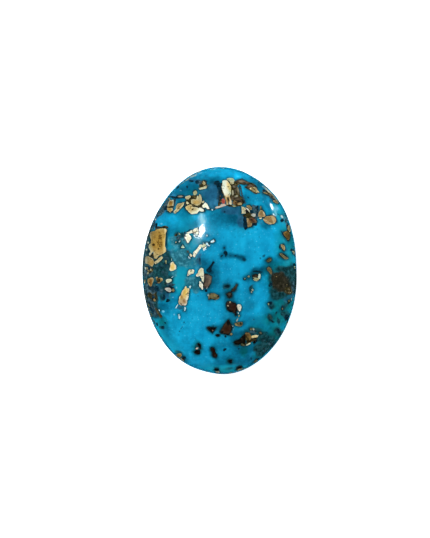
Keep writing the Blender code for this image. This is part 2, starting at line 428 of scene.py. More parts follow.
ironstone = {
    "proud": 0.01,
    "depth": 0.22,
    "edge": 0.035,
    "rim": 0.75,
}
ironstone["outlines"] = {
    "crust": [
        (0.8, -3.98, 6.97, -3.88, 7.1, -3.56, 7.14, -3.37, 7.04, -3.52, 6.95, -3.76, 6.93),
        (0.56, 1.18, 8, 1.4, 8.14, 1.64, 8.06, 1.6, 7.86, 1.4, 7.8, 1.2, 7.84),
        (0.86, 1.22, 7.62, 1.36, 7.64, 1.43, 7.3, 1.36, 7.08, 1.24, 7.12, 1.19, 7.4),
        (0.54, 1.42, 7.78, 1.64, 7.82, 1.68, 7.5, 1.56, 7.18, 1.45, 7.28, 1.46, 7.55),
        (0.66, 1.68, 8.04, 1.86, 7.9, 1.96, 7.5, 1.91, 7.2, 1.78, 7.26, 1.7, 7.5),
        (0.78, 1.48, 7.04, 1.7, 7.18, 1.88, 7.12, 1.84, 6.96, 1.62, 6.88, 1.48, 6.86),
        (0.56, 1.16, 7.02, 1.3, 7.05, 1.46, 6.95, 1.46, 6.7, 1.26, 6.64, 1.14, 6.8),
        (0.48, 1.5, 6.86, 1.84, 6.98, 2.06, 6.78, 2.3, 6.38, 2.02, 6.46, 1.76, 6.54, 1.5, 6.66),
        (0.52, 1.55, 8.46, 1.76, 8.6, 2.2, 8.68, 2.6, 8.5, 2.92, 8.3, 2.72, 8.2, 2.4, 8.2, 2, 8.3,
            1.7, 8.36),
        (0.5, 2.58, 7.94, 2.96, 8.24, 3.24, 8.16, 3.36, 8, 3.04, 7.94, 2.86, 7.8),
        (0.66, 2.86, 4.96, 3.1, 5.02, 3.4, 4.9, 3.62, 4.58, 3.48, 4.46, 3.22, 4.46, 3.04, 4.66),
        (0.02, 2.56, 5.76, 2.7, 5.74, 2.76, 5.54, 2.64, 5.44, 2.52, 5.56),
    ],
    "brownShard": [
        (0.44, -1.38, -0.42, -1.12, -0.41, -0.88, -0.49, -0.66, -0.62, -0.73, -1, -0.85, -1.38, -1.04, -1.66,
            -1.28, -1.75, -1.48, -1.63, -1.46, -1.3, -1.37, -1.1),
        (0.3, 0.72, -2.24, 0.92, -2.1, 1.14, -2.06, 1.22, -2.28, 1.19, -2.54, 1, -2.62, 0.82, -2.47),
        (0.36, 1.16, -2.04, 1.24, -1.82, 1.44, -1.66, 1.66, -1.36, 1.78, -1.34, 1.74, -1.52, 1.62, -1.86,
            1.44, -2.02, 1.26, -2.07),
    ],
    "darkChunks": [
        (0.32, 0.72, -3.1, 0.82, -3.02, 1.24, -3.06, 1.62, -3.21, 1.7, -3.44, 1.68, -3.64, 1.73, -3.88,
            1.6, -4.08, 1.42, -4.13, 1.3, -4, 1.04, -3.98, 0.82, -3.84, 0.7, -3.5),
        (0.05, 1.48, -4.12, 1.66, -4.02, 1.72, -4.22, 1.62, -4.38, 1.48, -4.34),
        (0.36, 0.84, -4.78, 0.94, -4.74, 1.03, -4.9, 1.15, -5.18, 1.22, -5.42, 1.19, -5.7, 1.14, -5.9,
            1.02, -6.02, 0.96, -6.16, 0.64, -6.12, 0.26, -6.04, 0.1, -5.9, 0.25, -5.58, 0.45, -5.22,
            0.6, -5.02),
        (0.04, -1.02, -5.52, -0.62, -5.46, -0.26, -5.46, -0.44, -5.8, -0.6, -6.02, -0.76, -5.88),
        (0.1, -0.31, -6.21, -0.23, -6.11, 0.06, -6.14, 0.08, -6.29, -0.08, -6.38, -0.23, -6.35),
        (0.16, -2.42, -7.81, -2.2, -7.66, -1.84, -7.62, -1.8, -7.96, -1.92, -8.06, -2.2, -8),
        (0.06, -2.03, -6.99, -1.92, -6.95, -1.7, -7.14, -1.7, -7.54, -1.8, -7.6, -1.84, -7.38, -1.95, -7.22,
            -2.05, -7.18),
        (0.26, -0.8, -7.42, -0.62, -7.36, -0.46, -7.4, -0.38, -7.6, -0.3, -7.9, -0.14, -8.1, -0.16, -8.26,
            -0.3, -8.36, -0.54, -8.34, -0.62, -8.16, -0.6, -7.9, -0.68, -7.62),
        (0.03, 0.88, -8.74, 1, -8.6, 1.22, -8.6, 1.26, -8.86, 1.15, -8.92, 0.97, -8.85),
        (0.02, 1.74, -9.4, 1.92, -9.23, 2.15, -9.23, 2.18, -9.37, 2, -9.44),
        (0.02, -0.46, -9.52, -0.32, -9.4, -0.08, -9.42, 0.04, -9.6, -0.2, -9.68, -0.42, -9.62),
        (0.03, -3.5, -8.34, -3.38, -8.36, -3.28, -8.56, -3.34, -8.64, -3.46, -8.52),
    ],
    "lowerRight": [
        (0.12, 1.38, -6.9, 1.55, -6.74, 1.95, -6.6, 2.12, -6.36, 2.4, -6.12, 2.54, -6.12, 2.52, -6.8,
            2.46, -7.02, 2.16, -6.98, 1.8, -7.12, 1.5, -7.08),
        (0.74, 3.8, -5.96, 3.98, -5.9, 4.08, -6.02, 4, -6.14, 3.84, -6.1),
        (0.04, 3.3, -6.76, 3.6, -6.66, 3.48, -6.92, 3.36, -7.08, 3.26, -6.94),
        (0.42, 3.22, -0.56, 3.5, -0.42, 3.74, -0.5, 3.66, -0.68, 3.44, -0.78, 3.26, -0.66),
    ],
}

quartz = {
    "proud": 0.012,
    "depth": 0.2,
    "edge": 0.035,
    "rim": 0.25,
}
quartz["outlines"] = {
    "whiteSlivers": [
        (0.1, -1.26, 2.63, -1.08, 2.63, -0.93, 2.4, -1.01, 2.26, -1.15, 2.36),
        (0.05, -0.83, 2.64, -0.75, 2.75, -0.48, 2.87, -0.45, 2.76, -0.64, 2.61, -0.79, 2.58),
        (0.25, -1.57, 2.56, -1.48, 2.61, -1.41, 2.52, -1.48, 2.45),
        (0.35, -2.3, 3.34, -2.14, 3.44, -1.98, 3.4, -2, 3.24, -2.18, 3.2),
        (0.0, -1.22, 3.28, -1.12, 3.35, -1.04, 3.27, -1.13, 3.19),
        (0.2, -2.95, 1.32, -2.84, 1.28, -2.7, 1.12, -2.77, 1.05, -2.91, 1.2),
        (0.05, -2.83, -1.6, -2.72, -1.49, -2.6, -1.47, -2.69, -1.71, -2.8, -1.8),
        (0.1, -4.14, -3.62, -4.02, -3.42, -3.9, -3.24, -3.84, -3.3, -3.96, -3.5, -4.06, -3.64),
        (0.05, -3.3, -3.53, -3.18, -3.49, -3.15, -3.72, -3.21, -3.94, -3.29, -3.9),
        (0.15, -3.89, -4.24, -3.8, -4.18, -3.7, -4.44, -3.73, -4.66, -3.82, -4.66, -3.86, -4.44),
        (0.0, -5.8, -3.77, -5.68, -3.77, -5.6, -3.88, -5.65, -3.95, -5.76, -3.88),
        (0.1, -4.55, -0.73, -4.37, -0.6, -4.35, -0.67, -4.48, -0.75),
        (0.3, -3.86, 2.66, -3.69, 2.82, -3.65, 2.75, -3.76, 2.61),
        (0.35, -4.55, 1.08, -4.47, 1.11, -4.45, 0.88, -4.53, 0.85),
        (0.0, -0.72, 5.73, -0.64, 5.82, -0.55, 5.72, -0.63, 5.62),
        (0.3, 5.9, 5.2, 5.98, 5.28, 6.1, 5.2, 6.2, 5.06, 6.12, 4.98, 5.98, 5.04),
        (0.25, -1.1, -2.4, -1.04, -2.27, -0.97, -2.29, -1.01, -2.54),
        (0.3, 1.79, -4.04, 1.9, -4.01, 1.89, -4.18, 1.81, -4.19),
        (0.1, 1.26, -5.31, 1.34, -5.27, 1.41, -5.34, 1.34, -5.42),
        (0.6, 3.2, -5.54, 3.28, -5.55, 3.4, -5.62, 3.38, -5.74, 3.24, -5.72),
        (0.62, -2.22, -7.46, -2.08, -7.36, -1.9, -7.46, -2.04, -7.55, -2.2, -7.55),
        (0.45, 1.62, -4.86, 1.78, -4.6, 1.84, -4.62, 1.72, -4.9),
        (0.6, -0.66, -5.72, -0.56, -5.69, -0.53, -5.8, -0.63, -5.83),
        (0.55, 3.12, -1.8, 3.24, -1.78, 3.3, -1.92, 3.2, -2, 3.1, -1.92),
        (0.65, 3.02, -2.06, 3.12, -2.03, 3.16, -2.12, 3.06, -2.17),
        (0.4, 6.92, -2.72, 7, -2.69, 7, -2.92, 6.94, -2.94),
    ],
    "pinkSlivers": [
        (0.66, -0.4, 5.94, -0.2, 6.06, 0.08, 6.1, 0.18, 6.26, 0.34, 6.26, 0.52, 6.24, 0.66, 6.34, 0.74, 6.2,
            0.62, 6.12, 0.34, 6, 0, 5.87, -0.28, 5.83),
        (0.55, 3.02, 5.22, 3.22, 5.36, 3.48, 5.34, 3.5, 5.08, 3.26, 5.04),
        (0.58, -5.1, -1.76, -4.96, -1.67, -4.62, -1.72, -4.5, -1.92, -4.57, -2.05, -4.72, -2.12, -4.96, -2,
            -5.1, -1.9),
    ],
}

hematite = {
    "proud": 0.01,
    "depth": 0.15,
    "edge": 0.03,
    "rim": 0.6,
}
hematite["outlines"] = {
    "redSpot": [
        (0.4, 0.24, 6.5, 0.27, 6.72, 0.4, 6.78, 0.54, 6.66, 0.62, 6.44, 0.5, 6.28, 0.32, 6.32),
    ],
}

# Marks inside the grains, as ellipses: x, y, half width, half length, strength, and the turn in
# degrees if there is one.
# Tarnish darkens in specks, light pales, and gold, cool and rust tint.
grainMarks = {
    "tarnish": [
        (2.8, -6.8, 0.25, 0.14, 0.8), (2.6, -6.3, 0.06, 0.3, 0.7), (1.6, -7, 0.2, 0.08, 0.7),
        (0.85, -3.7, 0.16, 0.3, 0.8), (1.05, -3.92, 0.4, 0.1, 0.8), (1.64, -4, 0.12, 0.26, 0.9),
        (0.9, -5.05, 0.16, 0.24, 0.9), (0.3, -5.9, 0.26, 0.1, 0.7), (0.6, -6.1, 0.5, 0.07, 0.7),
        (-0.85, -2.72, 0.16, 0.1, 0.7), (-0.06, -2.5, 0.1, 0.16, 0.8), (-0.5, -2.78, 0.4, 0.06, 0.6),
        (-0.9, -2.3, 0.14, 0.1, 0.6), (2.1, -5.1, 0.12, 0.2, 0.6), (-1.3, -0.8, 0.13, 0.4, 0.8),
        (-1.2, -1.65, 0.3, 0.1, 0.8, -20), (-1.05, -0.85, 0.1, 0.14, 0.5), (-3.5, -2.58, 0.12, 0.14, 0.45),
        (-3.3, -2.95, 0.12, 0.16, 0.5), (-5.65, 3.2, 0.16, 0.3, 0.25), (-5.85, 2.6, 0.14, 0.3, 0.22),
        (-5.45, 2.35, 0.12, 0.4, 0.22), (-6.1, 3.15, 0.08, 0.08, 0.7), (-5.5, 2.85, 0.06, 0.3, 0.3),
        (-5.75, 2, 0.12, 0.1, 0.6), (-5.7, 3.6, 0.1, 0.1, 0.5), (-2.3, 3.62, 0.3, 0.06, 0.7, 15),
        (-1.95, 2.02, 0.25, 0.05, 0.5, 45), (5.05, 7.05, 0.16, 0.06, 0.8, -45),
        (4.7, 7.36, 0.4, 0.06, 0.8, -25), (6.6, 3.1, 0.16, 0.2, 0.4), (4.3, 4.95, 0.1, 0.08, 0.7),
        (4.85, 4.6, 0.4, 0.05, 0.5, -25), (1.18, 7.5, 0.06, 0.4, 0.9), (1.46, 7.55, 0.06, 0.3, 0.9),
        (1.26, 7.9, 0.12, 0.08, 0.8), (1.72, 7.35, 0.05, 0.26, 0.8, 20), (1.86, 6.56, 0.2, 0.08, 0.9),
        (1.62, 6.86, 0.16, 0.06, 0.8), (1.6, 6.38, 0.1, 0.08, 0.8, 40), (0.8, 6.86, 0.05, 0.26, 0.6),
        (2.3, 5.78, 0.12, 0.06, 0.4), (3.1, 4.8, 0.16, 0.08, 0.8, -40), (3.3, 4.6, 0.1, 0.1, 0.7),
        (2.45, 8.34, 0.2, 0.06, 0.8, -20), (3.3, 7.76, 0.3, 0.05, 0.8, -38), (1.8, 8.48, 0.14, 0.08, 0.6),
        (-2.5, 5.78, 0.14, 0.09, 0.9, 30), (-2.65, 6.05, 0.05, 0.2, 0.7, -60),
        (-2.35, 6.28, 0.25, 0.04, 0.6), (-6.24, 2.42, 0.13, 0.12, 1.2), (-5.6, 2.9, 0.28, 0.6, 0.27),
        (-5.75, 2.4, 0.22, 0.7, 0.27), (-5.5, 3.3, 0.2, 0.3, 0.25), (-5.45, 2.1, 0.15, 0.4, 0.25),
        (-6.15, 1.85, 0.25, 0.12, 0.45), (-6.3, 0.7, 0.08, 0.2, 0.5), (-3.82, 5.98, 0.07, 0.36, 0.6, -40),
        (2.75, -6.55, 0.12, 0.16, 0.6), (-5.75, -1, 0.25, 0.22, 0.75), (-6.66, -1.15, 0.1, 0.2, 0.3),
    ],
    # a paler patch of the grain's own in most places, and painted highlight on the grains by the lamps: the
    # glare on the top white grain, and the upper cluster under the key trail
    "light": [
        (1.8, -6.9, 0.14, 0.09, 0.4), (2.2, -6.6, 0.1, 0.14, 0.4), (2.42, -6.3, 0.07, 0.12, 0.4),
        (2.1, -6.88, 0.16, 0.06, 0.3, 20), (1.6, -6.85, 0.12, 0.06, 0.3), (-0.6, -5.75, 0.09, 0.07, 1),
        (1, -2.28, 0.1, 0.08, 0.9), (1.66, -1.5, 0.06, 0.22, 1, -35), (-0.45, -2.45, 0.3, 0.12, 0.5),
        (1.62, -5.2, 0.14, 0.12, 0.7), (-0.85, -1.1, 0.14, 0.45, 0.8, -15), (-3, -2, 0.12, 0.5, 0.6),
        (-3.2, -3.3, 0.3, 0.1, 0.8), (-4.15, 0.2, 0.1, 0.3, 0.5), (-6.55, 3.2, 0.1, 0.5, 0.5),
        (-6.6, 2.2, 0.14, 0.3, 0.5), (-6.4, 1.5, 0.2, 0.1, 0.5), (-6.95, 0.95, 0.1, 0.3, 0.6),
        (-6.7, -1.2, 0.08, 0.3, 0.4), (6.35, 3.58, 0.16, 0.08, 0.6, 30), (-4.84, 6.4, 0.05, 0.28, 0.7),
        (-4.36, 6.4, 0.05, 0.26, 0.7), (-4.55, 6.66, 0.24, 0.05, 0.7), (-4.45, 5.74, 0.05, 0.2, 0.7),
        (-4.7, 5.52, 0.2, 0.05, 0.7), (-3.52, 6.12, 0.05, 0.3, 0.7, -40), (-4.14, 5.7, 0.05, 0.3, 0.7, -40),
        (5.2, 4.78, 0.1, 0.35, 0.5, 20), (4.6, 4.62, 0.4, 0.08, 0.6, -30), (4.3, 5.5, 0.08, 0.24, 0.8),
        (1.33, 7.35, 0.06, 0.26, 0.9), (1.5, 7.92, 0.2, 0.06, 0.8, -25), (1.75, 7.08, 0.2, 0.06, 0.7, 35),
        (1.62, 7.55, 0.06, 0.26, 0.5, -10), (1.86, 7.65, 0.06, 0.2, 0.6, 15),
        (2.1, 8.45, 0.2, 0.08, 0.5, -10), (0.6, 7.8, 0.24, 0.6, 1, 10), (3.5, 4.72, 0.06, 0.2, 0.9, 40),
        (1.98, 6.27, 0.16, 0.05, 0.8, 5), (2.72, 4.6, 0.06, 0.35, 0.5, -10),
        (3.72, 7.5, 0.16, 0.08, 0.4, -30), (1.02, 6.4, 0.08, 0.2, 0.6), (-2.2, 5.5, 0.4, 0.14, 0.6, 5),
        (-1.95, 5.7, 0.15, 0.15, 0.5), (-1.05, 5.95, 0.15, 0.2, 0.3), (-5.18, 2.2, 0.13, 0.65, 0.6),
        (-5.12, 3.7, 0.1, 0.25, 0.6), (-5.95, -0.7, 0.1, 0.08, 0.6), (-5.45, -0.82, 0.1, 0.08, 0.6),
        (-4.42, 0.3, 0.15, 0.2, 0.2),
    ],
    "gold": [
        (-3.2, -2.15, 0.32, 0.6, 1, -20), (-3.55, -2.6, 0.16, 0.2, 0.8), (-5.8, -1, 0.35, 0.3, 0.6),
        (2.78, -6.4, 0.35, 0.5, 0.6), (3.35, -6.35, 0.45, 0.25, 0.6), (0.95, 8, 0.2, 0.5, 0.8, 15),
        (0.85, 6.8, 0.25, 0.4, 0.7), (-2.15, 6.45, 0.3, 0.2, 0.8), (-2.8, 5.9, 0.35, 0.3, 0.6),
        (-5.7, 2.8, 0.9, 1.4, 1), (-5.95, 2.9, 0.45, 0.8, 0.4), (-6.45, 0.7, 0.25, 0.3, 0.8),
        (-6.55, -1.2, 0.2, 0.35, 0.8), (-4.6, 6.35, 0.16, 0.25, 1), (4.85, -0.05, 0.25, 0.4, 0.3),
        (-4.68, 5.75, 0.22, 0.18, 0.8), (6.5, 3.3, 0.4, 0.5, 0.9), (-3.82, -8.18, 0.22, 0.18, 0.9),
        (-4.4, 0.3, 0.24, 0.34, 1), (-3.8, 6, 0.15, 0.3, 0.5, -40),
    ],
    "cool": [
        (3.15, -1.95, 0.25, 0.3, 1), (-0.5, -2.5, 0.55, 0.35, 0.6), (1.85, -5.15, 0.45, 0.25, 0.5),
        (1.9, -4.35, 0.14, 0.14, 0.9), (-5.08, 0.8, 0.2, 0.3, 0.8), (-6.8, 0, 0.25, 0.4, 0.4),
        (-5.8, -4.2, 0.4, 0.4, 0.6), (-4.8, -1.05, 0.4, 0.25, 0.3), (-6.65, -3.38, 0.3, 0.3, 0.8),
        (-6.45, -4.3, 0.3, 0.3, 0.8), (-6.62, 2.2, 0.14, 0.3, 0.6), (3.95, -6.05, 0.2, 0.2, 0.9),
        (3.2, -5.65, 0.3, 0.2, 0.8), (4.72, -3.24, 0.2, 0.2, 1), (6.7, -2.98, 0.2, 0.2, 0.9),
        (4.75, 0.95, 0.4, 0.3, 0.9), (6.2, 1.3, 0.5, 0.4, 0.6), (2, -6.75, 0.9, 0.6, 0.9),
        (1, -2.3, 0.4, 0.4, 0.9), (1.45, -1.7, 0.45, 0.45, 0.9), (7.28, 0.22, 0.15, 0.25, 0.9),
        (-1.45, 2.3, 0.3, 0.25, 0.5), (-3.45, 2.2, 0.25, 0.3, 0.9), (2.6, -0.72, 0.4, 0.25, 0.9),
        (3.6, -0.7, 0.5, 0.4, 0.7), (4.85, 7.25, 0.8, 0.3, 0.3, -35), (1.55, 7.5, 0.6, 0.9, 0.7),
        (3.6, -8.75, 0.3, 0.2, 0.8), (-3.77, 3.45, 0.2, 0.2, 0.9), (4, 5.95, 0.12, 0.25, 0.9),
        (3.4, 7.7, 0.5, 0.25, 0.2, -38), (1.1, 8.72, 0.4, 0.2, 0.9), (0.4, 8.3, 0.2, 0.35, 0.4),
        (1.5, 6.08, 0.3, 0.1, 0.8), (-2.3, 7.35, 0.25, 0.3, 0.5), (-1.5, 7.86, 0.45, 0.15, 0.3, 15),
        (6.8, 3.9, 0.3, 0.5, 0.3),
    ],
    "rust": [
        (1.36, -3.5, 0.35, 0.35, 1), (0.75, -5.6, 0.32, 0.35, 1), (-4.7, -1.9, 0.2, 0.14, 0.4),
        (-4.58, 6.38, 0.14, 0.2, 0.25), (5.45, 6.55, 0.3, 0.15, 0.4), (-2.1, -7.8, 0.2, 0.12, 0.8),
        (-0.5, -7.7, 0.12, 0.24, 1), (1.05, -3.25, 0.2, 0.14, 0.8), (-0.52, -7.95, 0.12, 0.3, 0.7),
        (-0.95, -1.35, 0.25, 0.35, 0.4), (-3.5, -2.55, 0.12, 0.14, 0.6), (-3.5, -3.1, 0.4, 0.3, 0.5),
        (-3.28, -2.9, 0.14, 0.2, 0.5), (-6.52, -1.15, 0.14, 0.3, 0.5), (2.72, -6.2, 0.2, 0.2, 0.4),
        (3.2, 4.75, 0.35, 0.25, 1), (1.6, 6.38, 0.3, 0.2, 0.7), (2.85, 4.5, 0.2, 0.4, 0.4),
        (4.85, 4.78, 0.6, 0.4, 0.4), (4.1, 5.35, 0.3, 0.3, 0.3), (0.9, 6.7, 0.3, 0.3, 0.5),
    ],
}
grainLayers = ("tone", "edge", *grainMarks)

marksShift = (-0.06, 0.05)  # the outlines and the clouds sit this far off the middle of the stone

# Grains that the photo doesn't show, in the wall and the back: how many, and their size.
hiddenGrains = {
    "seed": 11,
    "wall": 44,
    "back": 34,
    "smallest": 0.14,
    "largest": 0.75,
    "largestOnWall": 0.5,
    "wallHeights": (0.62, 1.05),
    "backReach": 0.9,  # as a share of the way from the middle to the outline
    "spacing": 0.6,
    "pyriteTones": (0.4, 0.8),
    "ironstoneTones": (0.05, 0.5),
    "corners": (5, 7),
    "stretch": (0.5, 1.0),
    "cornerShift": 0.28,  # how far a corner leaves its even place, as a share of the way to the next
    "cornersOut": (0.36, 0.56),
}

# How every grain is cut, in millimetres, and at most as what share of its own width.
grainShape = {
    "cutCorner": 0.03,
    "ragged": 0.06,
    "mostShare": 0.4,
    "mostRagged": 0.5,
    "waves": (3.2, 8),  # per millimetre, the coarse and the fine raggedness
    "fineWaves": 0.4,
    "edgeSteps": (0.36, 0.17),  # edges longer than these are split, in turn
    "faceSteps": (0.3, 0.2, 0.13, 0.09),
    "edgeSunk": 0.012,
    "edgeBand": 0.11,  # width of the band whose tone the edge shifts
    "uneven": 0.004,  # the hard grains polish a little uneven
    "markCrispness": 5.0,
    "sharpAngle": 40,
}


def pairs(places):
    return list(zip(places[::2], places[1::2]))


def grainsOf(look):
    # how dark the stain round each grain is, its tone, and its corners where they sit on the stone
    for cluster, grains in look["outlines"].items():
        stain = look.get("rims", {}).get(cluster, look["rim"])
        for tone, *places in grains:
            yield stain, tone, [(x + marksShift[0], y + marksShift[1]) for x, y in pairs(places)]


def grainOutline(dice, x, y, size):
    # an irregular chip
    corners = dice.randint(*hiddenGrains["corners"])
    turn = dice.uniform(0, math.tau)
    stretch = dice.uniform(*hiddenGrains["stretch"])
    shift = hiddenGrains["cornerShift"]
    points = []
    for corner in range(corners):
        angle = math.tau * (corner + dice.uniform(-shift, shift)) / corners
        out = size * dice.uniform(*hiddenGrains["cornersOut"])
        across, along = out * math.cos(angle), out * math.sin(angle) * stretch
        points.append((
            x + across * math.cos(turn) - along * math.sin(turn),
            y + across * math.sin(turn) + along * math.cos(turn),
        ))
    return points


def scatterHidden():
    # a list of (mineral, tone, place, outline) for the wall and the back
    dice = random.Random(hiddenGrains["seed"])
    found = []
    taken = []
    for side in ("wall", "back"):
        left = hiddenGrains[side]
        while left:
            size = dice.uniform(hiddenGrains["smallest"] ** 0.5, hiddenGrains["largest"] ** 0.5) ** 2
            direction = dice.uniform(0, math.tau)
            mineral = dice.choice(("pyrite", "pyrite", "ironstone"))
            tone = dice.uniform(*hiddenGrains[mineral + "Tones"])
            if side == "wall":
                size = min(size, hiddenGrains["largestOnWall"])
                place = onWallAt(direction)
                x, y = 0.0, dice.uniform(*hiddenGrains["wallHeights"])
            else:
                place = onBack
                x, y = ovalPoint(hiddenGrains["backReach"] * math.sqrt(dice.random()), direction)
            spot = place(x, y)
            outline = grainOutline(dice, x, y, size)
            apart = hiddenGrains["spacing"]
            if any((spot - other).length < (size + across) * apart for other, across in taken):
                continue
            taken.append((spot, size))
            found.append((mineral, tone, place, outline))
            left -= 1
    return found


hidden = scatterHidden()


def cutChip(outline, tone, look):
    # one grain laid flat: a polygon with cut corners and a ragged edge, and walls down from it
    chip = bmesh.new()
    for name in grainLayers:
        chip.verts.layers.float.new(name)
    bmesh.ops.contextual_create(chip, geom=[chip.verts.new((x, y, 0)) for x, y in outline])
    face = chip.faces[:][0]
    across = 2 * face.calc_area() / face.calc_perimeter()
    most = grainShape["mostShare"] * across
    bmesh.ops.bevel(
        chip, geom=chip.verts[:], offset=min(grainShape["cutCorner"], most), offset_type="OFFSET",
        segments=1, profile=0.5, affect="VERTICES", clamp_overlap=True, material=-1,
    )
    for longest in grainShape["edgeSteps"]:
        longEdges = [edge for edge in chip.edges if edge.calc_length() > longest]
        bmesh.ops.subdivide_edges(chip, edges=longEdges, cuts=1)
    reach = min(grainShape["ragged"], grainShape["mostRagged"] * across)
    coarse, fine = grainShape["waves"]
    for vert in chip.verts:  # natural edges are never straight
        ragged = noise.noise_vector(vert.co * coarse + Vector((3, 1, tone * 9)))
        ragged = ragged + grainShape["fineWaves"] * noise.noise_vector(vert.co * fine + Vector((0, 5, 2)))
        vert.co += Vector((ragged.x, ragged.y, 0)) * reach
    bmesh.ops.inset_region(
        chip, faces=chip.faces[:], thickness=min(look["edge"], most), depth=0,
        use_even_offset=False, use_boundary=True,
    )
    rim = {vert for vert in chip.verts if vert.is_boundary}

    def splitFace():
        inner = [face for face in chip.faces if not any(vert in rim for vert in face.verts)]
        bmesh.ops.triangulate(chip, faces=inner, quad_method="BEAUTY", ngon_method="BEAUTY")

    splitFace()
    for longest in grainShape["faceSteps"]:
        inside = [edge for edge in chip.edges if not any(vert in rim for vert in edge.verts)]
        tooLong = [edge for edge in inside if edge.calc_length() > longest]
        if tooLong:
            bmesh.ops.subdivide_edges(chip, edges=tooLong, cuts=1)
            splitFace()
    walls = bmesh.ops.extrude_edge_only(chip, edges=[edge for edge in chip.edges if edge.is_boundary])
    foot = {item for item in walls["geom"] if isinstance(item, bmesh.types.BMVert)}
    bmesh.ops.contextual_create(chip, geom=[edge for edge in chip.edges if edge.is_boundary])
    return chip, rim, foot


def inlayGrain(into, outline, tone, place, look, scratch):
    # lays one grain on the surface, its face a touch proud and its walls down into the stone
    chip, rim, foot = cutChip(outline, tone, look)
    layers = {name: chip.verts.layers.float[name] for name in grainLayers}
    verts = chip.verts[:]
    x, y = np.array([(vert.co.x, vert.co.y) for vert in verts]).T
    values = {"tone": np.full(len(verts), tone)}
    values["edge"] = np.clip(1 + gapToGrains(x, y, [(1.0, outline)]) / grainShape["edgeBand"], 0, 1)
    for kind, spots in grainMarks.items():
        seen = cloudAmount(x - marksShift[0], y - marksShift[1], spots, grainShape["markCrispness"])
        values[kind] = seen if place is onDome else seen * 0
    proud = 0.0 if place is onBack else look["proud"]
    for index, vert in enumerate(verts):
        lift = proud
        if vert in foot:
            lift = -look["depth"]
        elif vert in rim:
            lift = -grainShape["edgeSunk"]
        elif proud:
            lift += grainShape["uneven"] * noise.noise(Vector((vert.co.x * 3, vert.co.y * 3, 5)))
        for name in grainLayers:
            vert[layers[name]] = values[name][index]
        vert.co = lifted(place, vert.co.x, vert.co.y, lift)[0]
    bmesh.ops.recalc_face_normals(chip, faces=chip.faces)
    chip.to_mesh(scratch)
    chip.free()
    into.from_mesh(scratch)


def makeGrains(name, look, mineral, material):
    mesh = bmesh.new()
    for layer in grainLayers:
        mesh.verts.layers.float.new(layer)
    scratch = bpy.data.meshes.new("scratch")
    for _, tone, outline in grainsOf(look):
        inlayGrain(mesh, outline, tone, onDome, look, scratch)
    for kind, tone, place, outline in hidden:
        if kind == mineral:
            inlayGrain(mesh, outline, tone, place, look, scratch)
    bpy.data.meshes.remove(scratch)
    piece = finishPiece(name, mesh, material, grainShape["sharpAngle"])
    print(name, "inlaid,", len(piece.data.polygons), "faces")
    return piece


# Clouds of colour in the stone, as ellipses like the marks in the grains.

